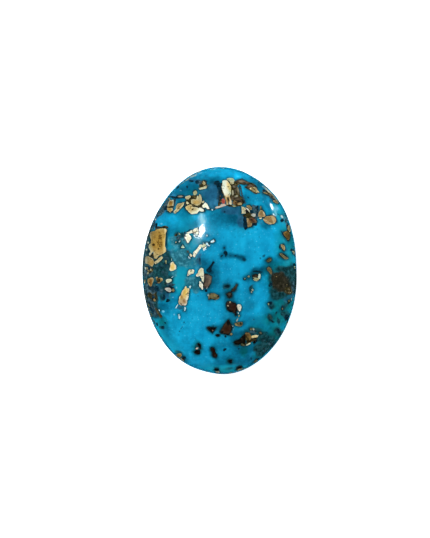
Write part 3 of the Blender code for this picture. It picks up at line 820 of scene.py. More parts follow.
clouds = {
    "deep": [
        (-0.5, 4.9, 0.8, 0.7, 0.4), (2.35, 6.6, 0.3, 0.5, 0.8, 15), (1.5, -10.7, 2.4, 0.5, 0.7),
        (-4.6, -9.3, 1.2, 0.6, 0.6, 25), (5.2, 9.2, 1.2, 0.7, 0.6, -35), (-0.5, 8.35, 0.7, 0.35, 1),
        (-0.1, 8.6, 0.4, 0.3, 0.8), (2.1, -2.6, 0.8, 0.6, 0.35), (-5.95, -4.9, 0.4, 0.7, 0.9, 25),
        (-3.75, 6.72, 0.4, 0.2, 1), (-3.8, 6.7, 0.3, 0.2, 0.8), (-2.2, 7.9, 0.5, 0.4, 0.9),
        (-2.9, 7.5, 0.5, 0.35, 0.9), (2.9, -6, 0.5, 0.5, 0.5), (-5.4, -3.3, 0.35, 0.5, 0.7),
        (3.4, -4.9, 0.8, 0.5, 0.6), (3.9, -5.3, 0.7, 0.4, 0.5), (5.4, -6.3, 0.35, 0.5, 0.9, 30),
        (5.2, 6.9, 0.3, 0.9, 0.6, 35), (4.9, 6.1, 0.5, 0.5, 0.4), (6.4, 5, 0.3, 0.7, 0.7, 10),
        (2.6, -9.2, 0.9, 0.4, 0.5, 25), (3.9, -8.4, 0.5, 0.4, 0.6), (-2.2, -9.3, 1.4, 0.4, 0.3, -20),
        (5.6, 0.6, 0.6, 0.4, 0.4), (3.4, 8.3, 0.9, 0.5, 0.8, -35), (4.2, 8, 0.5, 0.5, 0.8),
        (-3.4, 8, 1, 0.6, 0.8, 40), (-3.5, 7.4, 0.8, 0.35, 0.5), (-2.2, 8.5, 0.6, 0.4, 0.5),
        (3.2, 6.6, 0.9, 0.6, 0.4), (4.4, 6.8, 0.6, 0.8, 0.5), (2.3, 6.6, 0.35, 0.5, 0.5),
        (-5, 5.4, 0.6, 0.4, 0.4), (-3.1, 5.3, 0.6, 0.4, 0.4), (5.1, 5.5, 0.6, 0.6, 0.3),
        (6, 4.8, 0.5, 0.8, 0.4), (4.5, 4.2, 0.6, 0.35, 0.8), (6.2, 2.5, 0.5, 0.9, 0.5),
        (6.9, 1.9, 0.35, 1, 0.5), (2.9, -3.4, 0.5, 0.6, 0.6), (7, -2.6, 0.35, 0.5, 0.7),
        (2, -6.4, 0.75, 0.6, 0.9, 20), (3, -7.5, 0.6, 0.5, 0.7), (0.9, -9.4, 0.9, 0.4, 0.5),
        (-3, -8.4, 0.6, 0.5, 0.4), (0.1, -5.4, 0.5, 0.4, 0.5), (5.2, -4.5, 0.6, 0.6, 0.4),
        (6.2, -6.3, 0.35, 0.6, 0.7, 20), (0.4, 9.6, 1.6, 0.35, 0.4), (2.6, 9.2, 0.8, 0.4, 0.3, -20),
        (-4.85, 2.8, 0.16, 1.2, 0.9), (-4, 0, 0.9, 0.9, 0.4), (-0.75, -0.1, 0.55, 0.35, 0.9, -30),
        (-3.9, 3, 0.6, 0.7, 0.6), (-4.5, -1.6, 0.7, 0.6, 0.4), (5.6, -3.6, 1.3, 1.1, 0.5),
        (6.6, -4, 0.6, 1, 0.5), (3.75, -6.8, 0.5, 0.6, 0.8), (4.9, -1.6, 0.3, 1.2, 0.8),
        (5.4, -2.9, 0.5, 0.3, 0.7), (0.6, -9.2, 3.2, 0.9, 0.5), (2.5, -8.6, 1.2, 0.8, 0.4),
        (-5, -6.5, 0.8, 0.9, 0.5), (-5.4, -5.8, 0.6, 0.8, 0.5), (-4.3, -3.9, 1.2, 1, 0.2),
        (-4.3, 3.3, 0.8, 1.2, 0.5), (1.3, 1.35, 0.7, 0.25, 0.9, -8), (2.2, 1.05, 0.35, 0.3, 0.9),
        (0.35, 1.3, 0.35, 0.3, 0.8), (0.5, 2.1, 0.2, 0.35, 0.7), (3.6, -0.3, 0.6, 0.35, 1),
        (2.6, -0.85, 0.4, 0.25, 0.7), (4.2, 0, 0.3, 0.3, 0.8), (-2.9, 4, 0.9, 0.4, 0.7, 20),
        (-3, 8.7, 1.6, 0.6, 0.45, 35), (-1.8, 8.9, 1.2, 0.5, 0.5, 10), (-1, 8.6, 0.9, 0.5, 0.35),
        (0, 8.9, 0.6, 0.4, 0.3), (2.2, 7.2, 0.8, 0.9, 0.35), (3.2, 7.1, 0.9, 0.6, 0.25, -20),
        (-3.2, 7.6, 1.2, 0.5, 0.45, 20), (-4.9, 7.4, 0.6, 0.5, 0.35, 40), (-4.5, 5.3, 1.2, 0.6, 0.2),
        (-5.9, 5.2, 0.6, 0.9, 0.5, -20), (-4.4, 6.5, 0.8, 0.6, 0.4), (-3.2, 5.4, 0.8, 0.9, 0.45),
        (-2.9, 4.6, 0.6, 0.5, 0.3), (-0.6, 5.3, 0.9, 0.5, 0.3), (0.4, 5.2, 0.9, 0.9, 0.55),
        (1.2, 5.2, 0.8, 0.9, 0.7), (1.9, 4.9, 0.7, 0.8, 0.7), (2.3, 4.4, 0.4, 0.6, 0.6),
        (-0.8, 3.6, 0.9, 0.7, 0.35), (0.2, 4.4, 1, 0.5, 0.35), (2, 3.6, 0.8, 0.4, 0.25),
        (-5.3, 4.2, 0.6, 0.7, 0.4), (-4.5, 3.8, 0.8, 0.6, 0.35), (-3.2, 3.6, 0.9, 0.5, 0.25),
        (-4.9, 2.5, 0.5, 1, 0.3), (-3.9, 2.2, 0.7, 0.6, 0.25), (-2.1, 1.3, 0.7, 0.7, 0.4),
        (-1, 2.3, 0.8, 0.8, 0.25), (0.6, 1.5, 0.5, 0.35, 0.4), (1.8, 1.2, 0.7, 0.3, 0.3),
        (-0.9, 0.5, 0.9, 0.8, 0.45), (-0.6, -0.6, 0.7, 0.8, 0.6), (-0.2, -0.5, 0.4, 0.8, 0.3),
        (-1.5, 0.6, 0.6, 0.5, 0.4), (2.9, -0.7, 1, 0.35, 0.45), (3.9, -0.2, 0.8, 0.5, 0.5),
        (4.8, 0.4, 0.7, 0.6, 0.45), (6, 1.6, 0.8, 1.6, 0.4), (6.4, 3, 0.6, 1.2, 0.35),
        (-1, -1.4, 0.6, 0.6, 0.6), (0.9, -1.8, 0.5, 0.9, 0.65, 10), (1, -2.6, 0.5, 0.6, 0.5),
        (-0.1, -2.5, 0.9, 0.5, 0.35), (0, -1.6, 0.6, 0.6, 0.35), (-1.2, -2.2, 0.4, 0.5, 0.4),
        (3.1, -1.7, 0.6, 0.6, 0.4), (1.2, -3.6, 0.8, 0.7, 0.5), (0.7, -4.6, 0.5, 0.6, 0.3),
        (1.3, -4.6, 0.7, 0.7, 0.5), (2, -4.8, 0.9, 0.8, 0.3), (0.8, -5.6, 0.9, 0.8, 0.4),
        (-0.3, -5.8, 0.7, 0.5, 0.3), (1.9, -6.5, 0.7, 0.5, 0.5), (3, -6, 0.7, 0.5, 0.4),
        (1.5, -7.3, 0.9, 0.7, 0.5), (2.3, -7.4, 0.8, 0.7, 0.6), (0.4, -6.8, 0.9, 0.6, 0.35),
        (0.4, -7.9, 1, 0.8, 0.35), (-0.3, -7.5, 0.6, 0.6, 0.4), (-1.9, -7.5, 0.7, 0.8, 0.45),
        (1.6, -8.6, 1.2, 0.7, 0.4), (0.4, -9.3, 1.2, 0.5, 0.5), (-1.2, -8.9, 1.4, 0.6, 0.2),
        (3, -8.4, 0.8, 0.8, 0.4), (5.3, -3.2, 0.9, 0.8, 0.5), (4.9, -4.5, 0.8, 0.9, 0.6),
        (6, -3.9, 0.7, 1, 0.5), (6.6, -4.6, 0.5, 0.7, 0.5), (5.7, -5, 0.9, 0.9, 0.35),
        (4.1, -4.9, 0.7, 0.6, 0.3), (3.6, -1.3, 0.6, 0.6, 0.25), (5, -6.2, 0.9, 0.7, 0.4),
        (-4, -6.3, 1.3, 1.2, 0.25), (-4.3, -7.6, 1.3, 0.8, 0.3, -40), (-3, -7.4, 0.9, 0.8, 0.3),
        (-3, -4, 1.2, 1.4, 0.22), (-4.9, -3.4, 0.7, 0.9, 0.4), (-5.2, -4.8, 0.9, 1, 0.4),
        (-2.8, -5.4, 1.2, 0.8, 0.1), (-3.6, -8.4, 0.6, 0.4, 0.3, -30), (-4.4, -2.3, 0.6, 1, 0.3),
    ],
    "teal": [
        (-3.9, -0.2, 1, 1.1, 1), (-4, 2, 1, 1.6, 0.7), (-4.2, -1.7, 0.8, 0.6, 0.8), (6.6, 0, 1.5, 7, 0.8),
        (5.9, -4.3, 1.3, 1.6, 0.9, 20), (-6.3, -5.2, 0.9, 1.4, 0.7, 25), (-3.4, 1.6, 1.6, 2.2, 0.6),
        (-3.2, -1.4, 1, 1.3, 0.6), (0.8, -9.5, 3.2, 0.55, 0.8), (-4.5, -7.2, 1.6, 0.7, 0.6, -40),
        (-0.6, 9.7, 1.4, 0.3, 0.6, 5), (4, -5, 1.4, 1, 0.5), (-2.4, 2.9, 0.9, 0.7, 0.7),
        (-2.2, 3, 0.7, 0.5, 0.6), (-0.2, 3.5, 0.5, 0.5, 0.4), (5.6, 5.9, 0.6, 1, 0.8),
        (-3.1, 4.8, 1, 1, 0.5),
    ],
    "sea": [
        (-2.5, 4.7, 0.6, 0.7, 0.35), (6.6, -3.3, 0.4, 0.5, 0.9, -30), (6, -3, 0.6, 0.25, 0.6, 10),
        (5.2, -3.4, 0.5, 0.4, 0.7), (6, -1, 1.7, 1.8, 0.9), (4.8, -6.8, 1.3, 1.3, 0.9, 30),
        (5.6, -6.1, 0.5, 0.7, 1, 30), (5, -4.6, 0.8, 0.6, 0.8), (6.2, -4.2, 0.9, 1, 0.8),
        (3.3, -5.7, 0.7, 0.45, 0.8), (2.35, -7.8, 0.35, 0.6, 0.9), (-2.1, -7.4, 0.5, 0.75, 0.8),
        (-3.9, -8, 0.5, 0.3, 0.8, -30), (-4.5, -0.5, 0.4, 0.9, 0.6), (-4.9, -2.6, 0.5, 0.5, 0.7),
        (-5.4, -5, 0.5, 0.6, 0.8, 25), (6.9, 2.6, 0.4, 1.6, 0.7), (6.3, 3.4, 0.5, 0.7, 0.7),
        (0.6, -9.6, 1.5, 0.3, 0.6), (2.8, -9.4, 0.8, 0.3, 0.6, 20), (3.8, -8.2, 0.6, 0.5, 0.8, 30),
        (-2.7, 7.5, 0.5, 0.3, 0.5), (-3.5, 8.3, 0.7, 0.2, 0.5, 40), (5.2, 7, 0.25, 0.9, 0.7, 38),
        (6.3, 5.2, 0.3, 0.7, 0.6, 15), (1, -8.8, 0.4, 0.4, 0.6), (4.8, 0.4, 0.5, 0.7, 0.5),
        (2, 6, 0.9, 0.2, 0.3), (5.9, 2.1, 0.3, 0.5, 0.5), (6.2, 1.3, 0.5, 0.35, 0.5, -35),
        (0.9, -1.8, 0.5, 0.5, 0.5),
    ],
    "veil": [
        (-3.9, 1.2, 1, 0.8, 0.85, -20), (-3.2, 2.1, 0.9, 0.6, 0.6, -20), (-2.6, -1.2, 0.8, 0.7, 0.85),
        (-3.9, 2.9, 0.7, 0.6, 0.9), (-4.7, 2.2, 0.45, 1.1, 0.5), (-2.2, -1.9, 0.4, 0.5, 0.7),
        (-3, 0.7, 0.9, 0.6, 0.7), (-4.3, -0.3, 0.5, 0.6, 0.7), (-4.8, -2.4, 0.5, 0.4, 0.6),
        (5.4, 5.9, 0.4, 0.8, 0.4), (6.3, 5, 0.4, 0.6, 0.7), (4.6, -7, 0.7, 0.8, 0.5),
        (6.5, -2.8, 0.5, 0.35, 0.6, 30), (-2, 0.7, 0.5, 0.8, 0.5), (-1.9, -0.9, 0.4, 0.6, 0.8),
        (-2.5, -3, 0.3, 0.3, 0.2), (-3.6, -3.6, 0.4, 0.25, 0.6), (0.3, -6.15, 0.3, 0.12, 0.6, -25),
    ],
    "navy": [
        (6.5, -2.75, 0.5, 0.22, 0.8, 20), (5.3, -3.25, 0.4, 0.2, 0.4), (-1.75, 7.5, 0.25, 0.3, 0.9),
        (-0.7, 6.4, 0.7, 0.6, 1), (1.3, 5.72, 0.9, 0.35, 0.8), (2.15, 4.7, 0.35, 0.6, 0.8),
        (-5.4, -1.9, 0.8, 0.75, 1), (-4.85, -2.5, 0.15, 0.35, 0.8), (-3.8, -3.55, 0.3, 0.15, 0.8),
        (-6.5, -3.9, 0.25, 0.5, 0.9, 25), (-5, -0.7, 0.3, 0.25, 0.7), (-4.5, 7.35, 0.4, 0.2, 0.6, 40),
        (-4.2, 6.3, 0.1, 0.5, 0.7, -8), (-0.75, 7.25, 1, 1.1, 1), (1.3, 5.7, 1, 0.42, 0.95),
        (2.2, 4.9, 0.5, 0.8, 0.8), (-2, 8.5, 0.35, 0.3, 0.8), (-2.7, 8.6, 0.5, 0.22, 0.8, -20),
        (-3.7, 7.1, 0.9, 0.25, 0.7), (3.55, 5.9, 0.32, 0.45, 0.9), (-6.45, 4.3, 0.4, 0.9, 1, -20),
        (-5.5, 6.2, 0.35, 0.7, 1, -32), (-5.95, 5.2, 0.4, 0.6, 0.9, -25), (-5.4, 5.8, 0.4, 0.35, 1),
        (-4.6, 7, 0.3, 0.2, 0.4), (-4.9, 1.6, 0.5, 0.4, 0.7), (7, -1.7, 0.35, 0.9, 0.9),
        (-1.9, 0.9, 0.3, 0.5, 0.7), (4.9, -7.1, 0.6, 0.7, 0.6, 30), (-3.7, -3.55, 0.25, 0.15, 0.7),
        (3.9, 4.5, 0.4, 0.25, 0.6, -20), (-4.4, 8, 0.6, 0.2, 0.5, 45), (6.8, 5, 0.3, 0.8, 0.7, 20),
        (-1.8, 1.5, 0.35, 0.3, 0.6), (1.6, 3.9, 0.5, 0.3, 0.4), (-0.7, -0.2, 0.5, 0.35, 0.4),
    ],
    "matrix": [
        (-8.1, 0.2, 0.6, 1.4, 0.9), (-7.7, -2.6, 0.6, 0.8, 0.9, 15), (7.9, -3.4, 0.4, 0.6, 0.8, -10),
        (-7.6, 3.6, 0.5, 1.2, 0.8, -18), (-6.7, 6, 0.5, 0.7, 0.7, -30), (-6.9, 0.6, 0.6, 1.4, 0.9),
        (-6.6, -0.4, 0.9, 0.6, 1), (-5.9, -0.3, 1.1, 0.9, 1), (-5.2, 0.4, 0.6, 0.7, 0.9),
        (-6.6, -1.9, 0.7, 1.1, 1), (-6.3, -2.9, 0.6, 0.9, 1, -10), (-5, -1.4, 0.6, 0.6, 0.85),
        (-7, 2.6, 0.35, 1.1, 1), (-6.8, 3.7, 0.3, 0.7, 1, -10), (-5.3, 1.2, 0.5, 0.3, 0.8),
        (-2.3, 6.9, 0.5, 0.35, 0.9), (-5.3, 6.5, 0.2, 0.5, 0.8, -35), (-4, 3.2, 0.4, 0.4, 0.5),
        (-6.35, -4.8, 0.2, 0.5, 0.8, 25), (-4.95, 6.3, 0.15, 0.5, 0.9),
    ],
    "moss": [
        (-7.5, 4.6, 0.7, 1.6, 0.7, -20), (-8.3, 1, 0.7, 2.2, 0.8), (-7.6, -3.2, 0.8, 1.3, 0.8, 15),
        (8.1, -1.2, 0.8, 1.3, 0.9), (6.6, -7.4, 0.9, 0.7, 0.7, 35), (-6.2, 8.2, 0.7, 0.9, 0.6, 30),
        (3.08, -1.75, 0.24, 0.36, 1), (5.7, -6, 0.3, 0.5, 0.9, 30), (5.25, -6.6, 0.3, 0.4, 0.5, 30),
        (0.9, -9.45, 0.7, 0.18, 0.5, 8), (3.8, -8, 0.4, 0.3, 0.6), (6.3, 5, 0.16, 0.4, 0.3, 10),
        (-3.5, 3.3, 0.2, 0.4, 0.9), (-4.1, 3.5, 0.3, 0.2, 0.8), (-3.9, 2.6, 0.4, 0.25, 0.8),
        (0.75, -1.5, 0.42, 0.3, 0.9), (-4.75, 0.9, 0.25, 0.4, 0.9), (-3, 1.7, 0.3, 0.2, 0.7, -40),
        (3.55, -7.6, 0.4, 0.2, 0.9, 25), (3.75, -6.7, 0.3, 0.3, 0.6), (-2.05, -7.4, 0.32, 0.5, 0.9),
        (5.5, -4.1, 0.12, 0.3, 0.7), (6.15, -4.15, 0.25, 0.2, 0.8), (5.1, -3.5, 0.3, 0.25, 0.6),
        (5, -0.6, 0.3, 0.5, 0.8), (5.7, -4.9, 0.2, 0.3, 0.6), (-3.9, -7.85, 0.35, 0.15, 0.7),
        (-5.9, 0.2, 1.2, 1.1, 1), (-5.1, 0.9, 0.6, 0.55, 0.9), (-6.9, 2.4, 0.4, 1.8, 1, -4),
        (-6.55, -1.8, 0.8, 1, 0.6), (-6.35, -3.1, 0.6, 1.1, 1, 15), (-6.05, -4.1, 0.3, 0.6, 0.8, 25),
        (-4.8, -0.9, 0.6, 0.5, 0.9), (-5, -1.7, 0.7, 0.5, 0.9), (-5.3, -2.6, 0.35, 0.35, 0.9),
        (-5.35, -5.1, 0.14, 0.3, 0.4, 25), (-6.1, -5.1, 0.16, 0.4, 0.5, 25), (-7.1, 0.3, 0.4, 1.6, 1),
        (-5, 3, 0.12, 1.2, 0.8), (-4.95, 1.5, 0.3, 0.3, 0.8), (-5.5, -5.55, 0.25, 0.2, 0.8),
        (6.2, -1.15, 1.15, 1.25, 1), (5.45, -2.2, 0.62, 0.75, 1), (6.2, 0.1, 0.6, 0.3, 0.8, -8),
        (6.9, 0.05, 0.5, 0.35, 0.8, 12), (7, -0.8, 0.5, 1.2, 1), (5.6, 0.1, 0.3, 0.2, 0.7),
        (6, -2.45, 0.5, 0.3, 0.9, 20), (4.6, -6.95, 0.7, 0.95, 1, 30), (4.2, -6.25, 0.5, 0.35, 0.8, -20),
        (4.1, -7.8, 0.5, 0.6, 0.9, 30), (3.65, -7.5, 0.45, 0.3, 0.8), (5.65, -5.9, 0.25, 0.5, 0.9, 30),
        (4.85, -4.5, 0.32, 0.42, 1), (5.15, -4.9, 0.25, 0.14, 0.8, -25), (5.7, -4.9, 0.12, 0.4, 0.7, 10),
        (6.55, -3.2, 0.14, 0.45, 0.8, -35), (6.5, -4.4, 0.4, 0.5, 0.8, 20), (6.1, -3.6, 0.4, 0.4, 0.7),
        (3.4, -5.8, 0.5, 0.35, 0.8), (3.05, -6.45, 0.6, 0.45, 0.9), (2, -6.9, 0.8, 0.35, 0.7, 15),
        (4.9, -3.3, 0.3, 0.4, 0.7),
    ],
    "umber": [
        (7.9, -1.5, 0.5, 0.7, 0.8), (5.3, -0.55, 0.3, 0.4, 0.9), (5.7, -1.1, 0.55, 0.65, 1, 20),
        (6.3, -1.5, 0.6, 0.5, 0.9), (6.6, -1.9, 0.45, 0.35, 1), (6.5, -0.9, 0.35, 0.4, 0.6),
        (5.3, -1.4, 0.25, 0.4, 0.6), (5.9, -1.9, 0.4, 0.25, 0.6), (5.85, -0.35, 0.35, 0.3, 0.6),
        (5.9, -0.8, 0.5, 0.5, 0.8),
    ],
    "brown": [
        (-6.7, -2.3, 0.35, 0.5, 0.8, 20), (-6.45, -1.95, 0.2, 0.15, 0.6), (-6.2, -2.2, 0.3, 0.3, 0.8),
        (-5, -1.42, 0.3, 0.08, 0.7), (0.34, 7.2, 0.1, 0.4, 1, -10), (4.92, -4.45, 0.2, 0.26, 0.55),
        (3.06, -5.6, 0.16, 0.08, 0.8, 20), (2.8, -6.9, 0.3, 0.12, 1, 30), (3.2, -6.66, 0.5, 0.14, 1, 15),
        (3.92, -6.15, 0.25, 0.12, 0.7), (2.3, -7.1, 0.3, 0.14, 0.9), (-4.1, 3.36, 0.2, 0.13, 1),
        (-2.98, 1.72, 0.2, 0.08, 0.8, -40), (6.55, 4, 0.14, 0.5, 0.9, 12), (2.75, 5.2, 0.35, 0.3, 1),
        (3.3, 5.1, 0.3, 0.35, 1), (1.9, 6.45, 0.5, 0.3, 1), (3.2, 4.6, 0.5, 0.35, 0.9),
        (2.3, 8.4, 0.7, 0.18, 0.9, -15), (1.2, 8.25, 0.3, 0.2, 0.9), (0.25, 6.4, 0.15, 0.4, 0.7),
        (-2.4, 6.95, 0.35, 0.2, 1), (-1.45, 8.35, 0.32, 0.3, 0.9), (-2, 6.05, 0.5, 0.1, 1),
        (-6.65, 0, 0.4, 0.36, 1), (-6.15, -2.7, 0.35, 0.35, 0.9), (-5.7, -0.95, 0.45, 0.3, 0.7),
        (6.6, -2.05, 0.45, 0.35, 1), (1.95, 6.65, 0.45, 0.4, 1), (1.7, 8.25, 0.4, 0.2, 0.9),
        (2.8, 8.32, 0.55, 0.14, 1, -28), (2.8, 5.2, 0.6, 0.25, 0.9), (3.3, 5, 0.4, 0.4, 0.7),
        (-2.1, 6.2, 0.5, 0.2, 1), (-2.7, 6.5, 0.2, 0.2, 1), (1.5, 7.3, 0.45, 0.8, 1),
        (0.85, 6.7, 0.3, 0.5, 0.8), (-2.35, 6.35, 0.85, 0.72, 1), (-4.62, 6.15, 0.4, 0.62, 0.9),
        (-1.5, 8.1, 0.4, 0.35, 0.9), (4.1, 5, 0.3, 0.15, 0.7), (-6, 1.25, 0.5, 0.16, 1, -30),
        (-6.85, 0.1, 0.2, 0.3, 0.8), (-5.4, 4.02, 0.7, 0.12, 0.8), (3.6, 5.6, 0.2, 0.3, 0.5),
    ],
    # the two by (-2, 9.2) and (-1.4, 9.4), along the top edge, are pale wisps with a painted highlight laid
    # over them where the rim catches the light
    "pale": [
        (-0.98, 0.32, 0.1, 0.08, 0.5), (-0.68, 0.62, 0.08, 0.08, 0.5), (-5.3, -3.95, 0.12, 0.1, 0.9),
        (-4.2, -4.2, 0.1, 0.12, 0.6), (-4.3, -2.6, 0.14, 0.12, 0.6), (-3.45, -1.5, 0.1, 0.3, 0.5, -30),
        (-5.3, -0.22, 0.1, 0.08, 0.4, -40), (-5.55, 0.2, 0.08, 0.08, 0.4),
        (-4.42, -0.55, 0.16, 0.06, 0.8, 45), (-4.7, -4.1, 0.08, 0.08, 0.4), (-4.4, -2.7, 0.1, 0.12, 0.4),
        (-4, -1.7, 0.08, 0.08, 0.5), (-3.9, -1.35, 0.25, 0.5, 0.4, -20), (-5.7, -2.7, 0.12, 0.2, 0.5),
        (4.15, -6.65, 0.12, 0.1, 0.5), (4.42, -7.2, 0.1, 0.12, 0.4), (3.85, -7.85, 0.12, 0.1, 0.7),
        (2.2, -7.55, 0.1, 0.2, 0.4), (-4.6, 3.2, 0.14, 0.08, 0.5), (-4.3, 3, 0.08, 0.12, 0.6),
        (-4.75, 2.7, 0.12, 0.1, 0.6), (-4.4, 2.25, 0.12, 0.06, 0.5), (-3.9, 1.3, 0.12, 0.06, 0.5, -40),
        (-4.2, 1.9, 0.1, 0.08, 0.4), (4.5, 8.05, 0.12, 0.5, 0.7, 42), (5.7, 5.85, 0.2, 0.1, 0.7, -40),
        (4.15, 6.6, 0.1, 0.1, 0.6), (-2, 0.9, 0.06, 0.2, 0.6, 20), (-3.4, 4.45, 0.1, 0.1, 0.4),
        (0.66, 5.6, 0.08, 0.06, 0.7), (0.82, 5.32, 0.1, 0.08, 0.6), (2.4, 8.08, 0.14, 0.05, 0.6),
        (0.2, 4.55, 0.1, 0.1, 0.5), (0.9, 4.2, 0.1, 0.1, 0.6), (1.35, 5.62, 0.1, 0.08, 0.5),
        (-0.85, 6.6, 0.2, 0.12, 0.6, 30), (-0.72, 7.12, 0.1, 0.1, 0.6), (-2, 9.2, 0.6, 0.14, 0.5, 32),
        (-1.4, 9.4, 0.4, 0.1, 0.4, 20), (-6.05, 4.8, 0.24, 0.12, 0.9), (-5.5, 4.42, 0.15, 0.12, 0.7),
        (-3.75, 7.6, 0.2, 0.1, 0.6), (-3.3, 7.75, 0.15, 0.08, 0.4), (-2.5, 5.05, 0.14, 0.12, 0.5, 45),
        (1.35, 5.62, 0.15, 0.12, 0.3), (-0.7, 7.12, 0.16, 0.12, 0.3), (-0.8, 6.6, 0.18, 0.14, 0.4),
        (5.45, 5.8, 0.3, 0.7, 0.6), (-5.35, -3.97, 0.12, 0.14, 0.6), (3.85, -3.75, 0.09, 0.12, 0.5),
        (-2.7, 8.95, 0.3, 0.14, 0.6, 35), (-4, 8.1, 0.4, 0.1, 0.7, 42), (-0.55, 9.76, 0.55, 0.16, 0.85, 3),
        (-7, 2.3, 0.1, 0.3, 0.4), (4.85, -3.88, 0.24, 0.2, 0.45), (4.4, -7.7, 0.2, 0.28, 0.5),
        (4.1, -6.5, 0.3, 0.25, 0.4), (-5.3, 5.45, 0.1, 0.2, 0.4, -20), (6.3, 5.7, 0.3, 0.3, 0.4),
        (-0.95, 3.58, 0.12, 0.08, 0.5), (-0.9, 5.2, 0.12, 0.1, 0.3), (-2, 3.35, 0.5, 0.2, 0.4),
        (-1.5, 3, 0.5, 0.2, 0.3),
    ],
    "slate": [
        (4.2, -6.75, 0.2, 0.15, 0.7), (4.55, -6.6, 0.12, 0.1, 0.6), (4.78, -7.6, 0.15, 0.12, 0.6),
        (5.3, -2.2, 0.3, 0.2, 0.4), (5.8, -2.6, 0.4, 0.16, 0.4, 10), (-6, 0.25, 0.14, 0.2, 0.5),
        (-5.3, -0.25, 0.12, 0.1, 0.5), (-6.9, 2.3, 0.12, 0.3, 0.8), (-5.5, -2, 0.3, 0.3, 0.6),
        (-6.6, -0.45, 0.4, 0.14, 0.6, 20), (3.25, -5.88, 0.36, 0.2, 0.9), (4.35, -7.65, 0.12, 0.28, 0.8),
        (4.9, -7.1, 0.2, 0.25, 0.7), (7.12, -1.6, 0.2, 0.6, 0.8), (-3.85, 3.05, 0.3, 0.3, 0.7),
        (-2, 0.8, 0.3, 0.4, 0.55), (4.6, 7.3, 0.5, 0.14, 0.6, -32), (6.45, 4.6, 0.2, 0.4, 0.7, 20),
        (5.05, 6.85, 0.2, 0.14, 0.7), (3.5, 5.7, 0.35, 0.5, 1), (3.62, 5.2, 0.22, 0.5, 1),
        (3.45, 5.85, 0.28, 0.35, 0.9), (2.2, 4.9, 0.25, 0.6, 0.5), (2.1, 7.9, 0.12, 0.3, 0.5, 20),
        (-1.9, 8.4, 0.25, 0.3, 0.9), (0.02, 7.4, 0.22, 1.1, 0.6, -4), (-0.4, 5.85, 0.6, 0.1, 0.8, 8),
        (-0.2, 8.35, 0.3, 0.2, 0.8), (-1, 8.15, 0.35, 0.2, 0.5), (-6.3, 4.25, 0.2, 0.55, 0.95, -20),
        (-6.95, 2.4, 0.22, 0.9, 0.9, -4), (-7.15, 1, 0.2, 0.7, 0.9), (-7.1, -0.2, 0.3, 0.6, 0.9),
        (-5.55, 5.5, 0.25, 0.6, 0.95, -30), (-5.2, 6.3, 0.2, 0.5, 0.95, -32), (-6.9, -1.7, 0.25, 0.6, 0.9),
        (-6.6, -3.2, 0.3, 0.6, 0.9, 20), (-6.2, -3.9, 0.3, 0.6, 0.8, 30), (-6.3, -1.9, 0.5, 0.4, 0.8),
        (-5, 1.1, 0.4, 0.25, 0.6), (-5.3, 0.3, 0.6, 0.3, 0.5), (-4.6, -1.45, 0.5, 0.15, 0.9),
        (-4.35, -1.95, 0.25, 0.25, 0.8), (-5, -0.4, 0.5, 0.3, 0.5),
    ],
    "bone": [
        (-7, 0.2, 0.08, 0.12, 0.8), (-6.78, -0.3, 0.08, 0.1, 0.7), (-7.15, -1.1, 0.08, 0.14, 0.7),
        (-6.78, 2.65, 0.1, 0.07, 0.7, 40), (3.7, -6.32, 0.12, 0.06, 0.7), (5.5, -0.62, 0.07, 0.05, 0.5),
        (6.55, -1.4, 0.06, 0.05, 0.5), (6.3, -2.05, 0.12, 0.07, 0.5), (6.82, -2.15, 0.1, 0.06, 0.7, 40),
        (6.7, -1.85, 0.1, 0.05, 0.5), (4.75, 7.62, 0.1, 0.35, 0.6, 45), (5.35, 7.1, 0.08, 0.35, 0.7, 35),
        (6.85, 4.25, 0.08, 0.3, 0.7, 12), (-3.05, 8.78, 0.25, 0.12, 0.6, 35),
        (-2.25, 9.15, 0.4, 0.07, 0.5, 22), (-1.05, 8.15, 0.05, 0.12, 0.6, 40), (-6.95, 1.95, 0.1, 0.12, 0.9),
        (-6.8, 2.7, 0.08, 0.06, 0.8), (-5.5, 6.1, 0.12, 0.08, 0.8, 45), (-5.72, 5.75, 0.1, 0.08, 0.8),
        (-5.85, 5.5, 0.08, 0.15, 0.8), (-6.1, 4.8, 0.22, 0.07, 1), (-4.1, 2.66, 0.08, 0.08, 0.7),
        (-4.05, 3.36, 0.1, 0.06, 0.4), (-6.6, 0.4, 0.06, 0.05, 0.6), (-5.85, -4.1, 0.1, 0.06, 0.5, -45),
        (-7, 0.1, 0.06, 0.15, 0.6),
    ],
    "dark": [
        (-0.7, -0.15, 0.3, 0.16, 0.6, -10), (5, -1.3, 0.16, 0.14, 0.8), (4.78, -1.55, 0.12, 0.1, 0.9),
        (7.25, 0.2, 0.1, 0.3, 0.8), (-3.36, -8.42, 0.16, 0.16, 0.9, -30), (6, 4.72, 0.15, 0.18, 0.9),
        (-6.05, -1.75, 0.25, 0.3, 0.8), (-0.55, 0.9, 0.1, 0.1, 0.5), (-0.95, 0.05, 0.22, 0.18, 0.5),
        (-3.38, -5, 0.08, 0.1, 0.6), (-3.55, -5.5, 0.08, 0.08, 0.6), (-3.8, -5.9, 0.07, 0.1, 0.5),
        (4.55, 7.3, 0.4, 0.1, 0.7, -25), (-6.45, -2.2, 0.35, 0.25, 0.4), (-6.3, -2.9, 0.14, 0.2, 0.6),
        (-0.98, -2.78, 0.12, 0.1, 0.8), (-5.95, -1.85, 0.2, 0.3, 0.8), (-6.55, -1.75, 0.25, 0.25, 0.7),
        (-6.25, -2.6, 0.2, 0.25, 0.7), (-6.62, -3.35, 0.14, 0.4, 0.8, 10), (-6.95, -2.3, 0.12, 0.5, 0.7),
        (-6.35, -3.85, 0.16, 0.3, 0.7, 25), (-4.72, -1.88, 0.52, 0.34, 0.9), (-4.8, -2.85, 0.16, 0.14, 0.8),
        (-5.2, -2.55, 0.16, 0.2, 0.8), (-6.75, 0.1, 0.36, 0.3, 0.8), (-5.9, -1.25, 0.5, 0.1, 0.7),
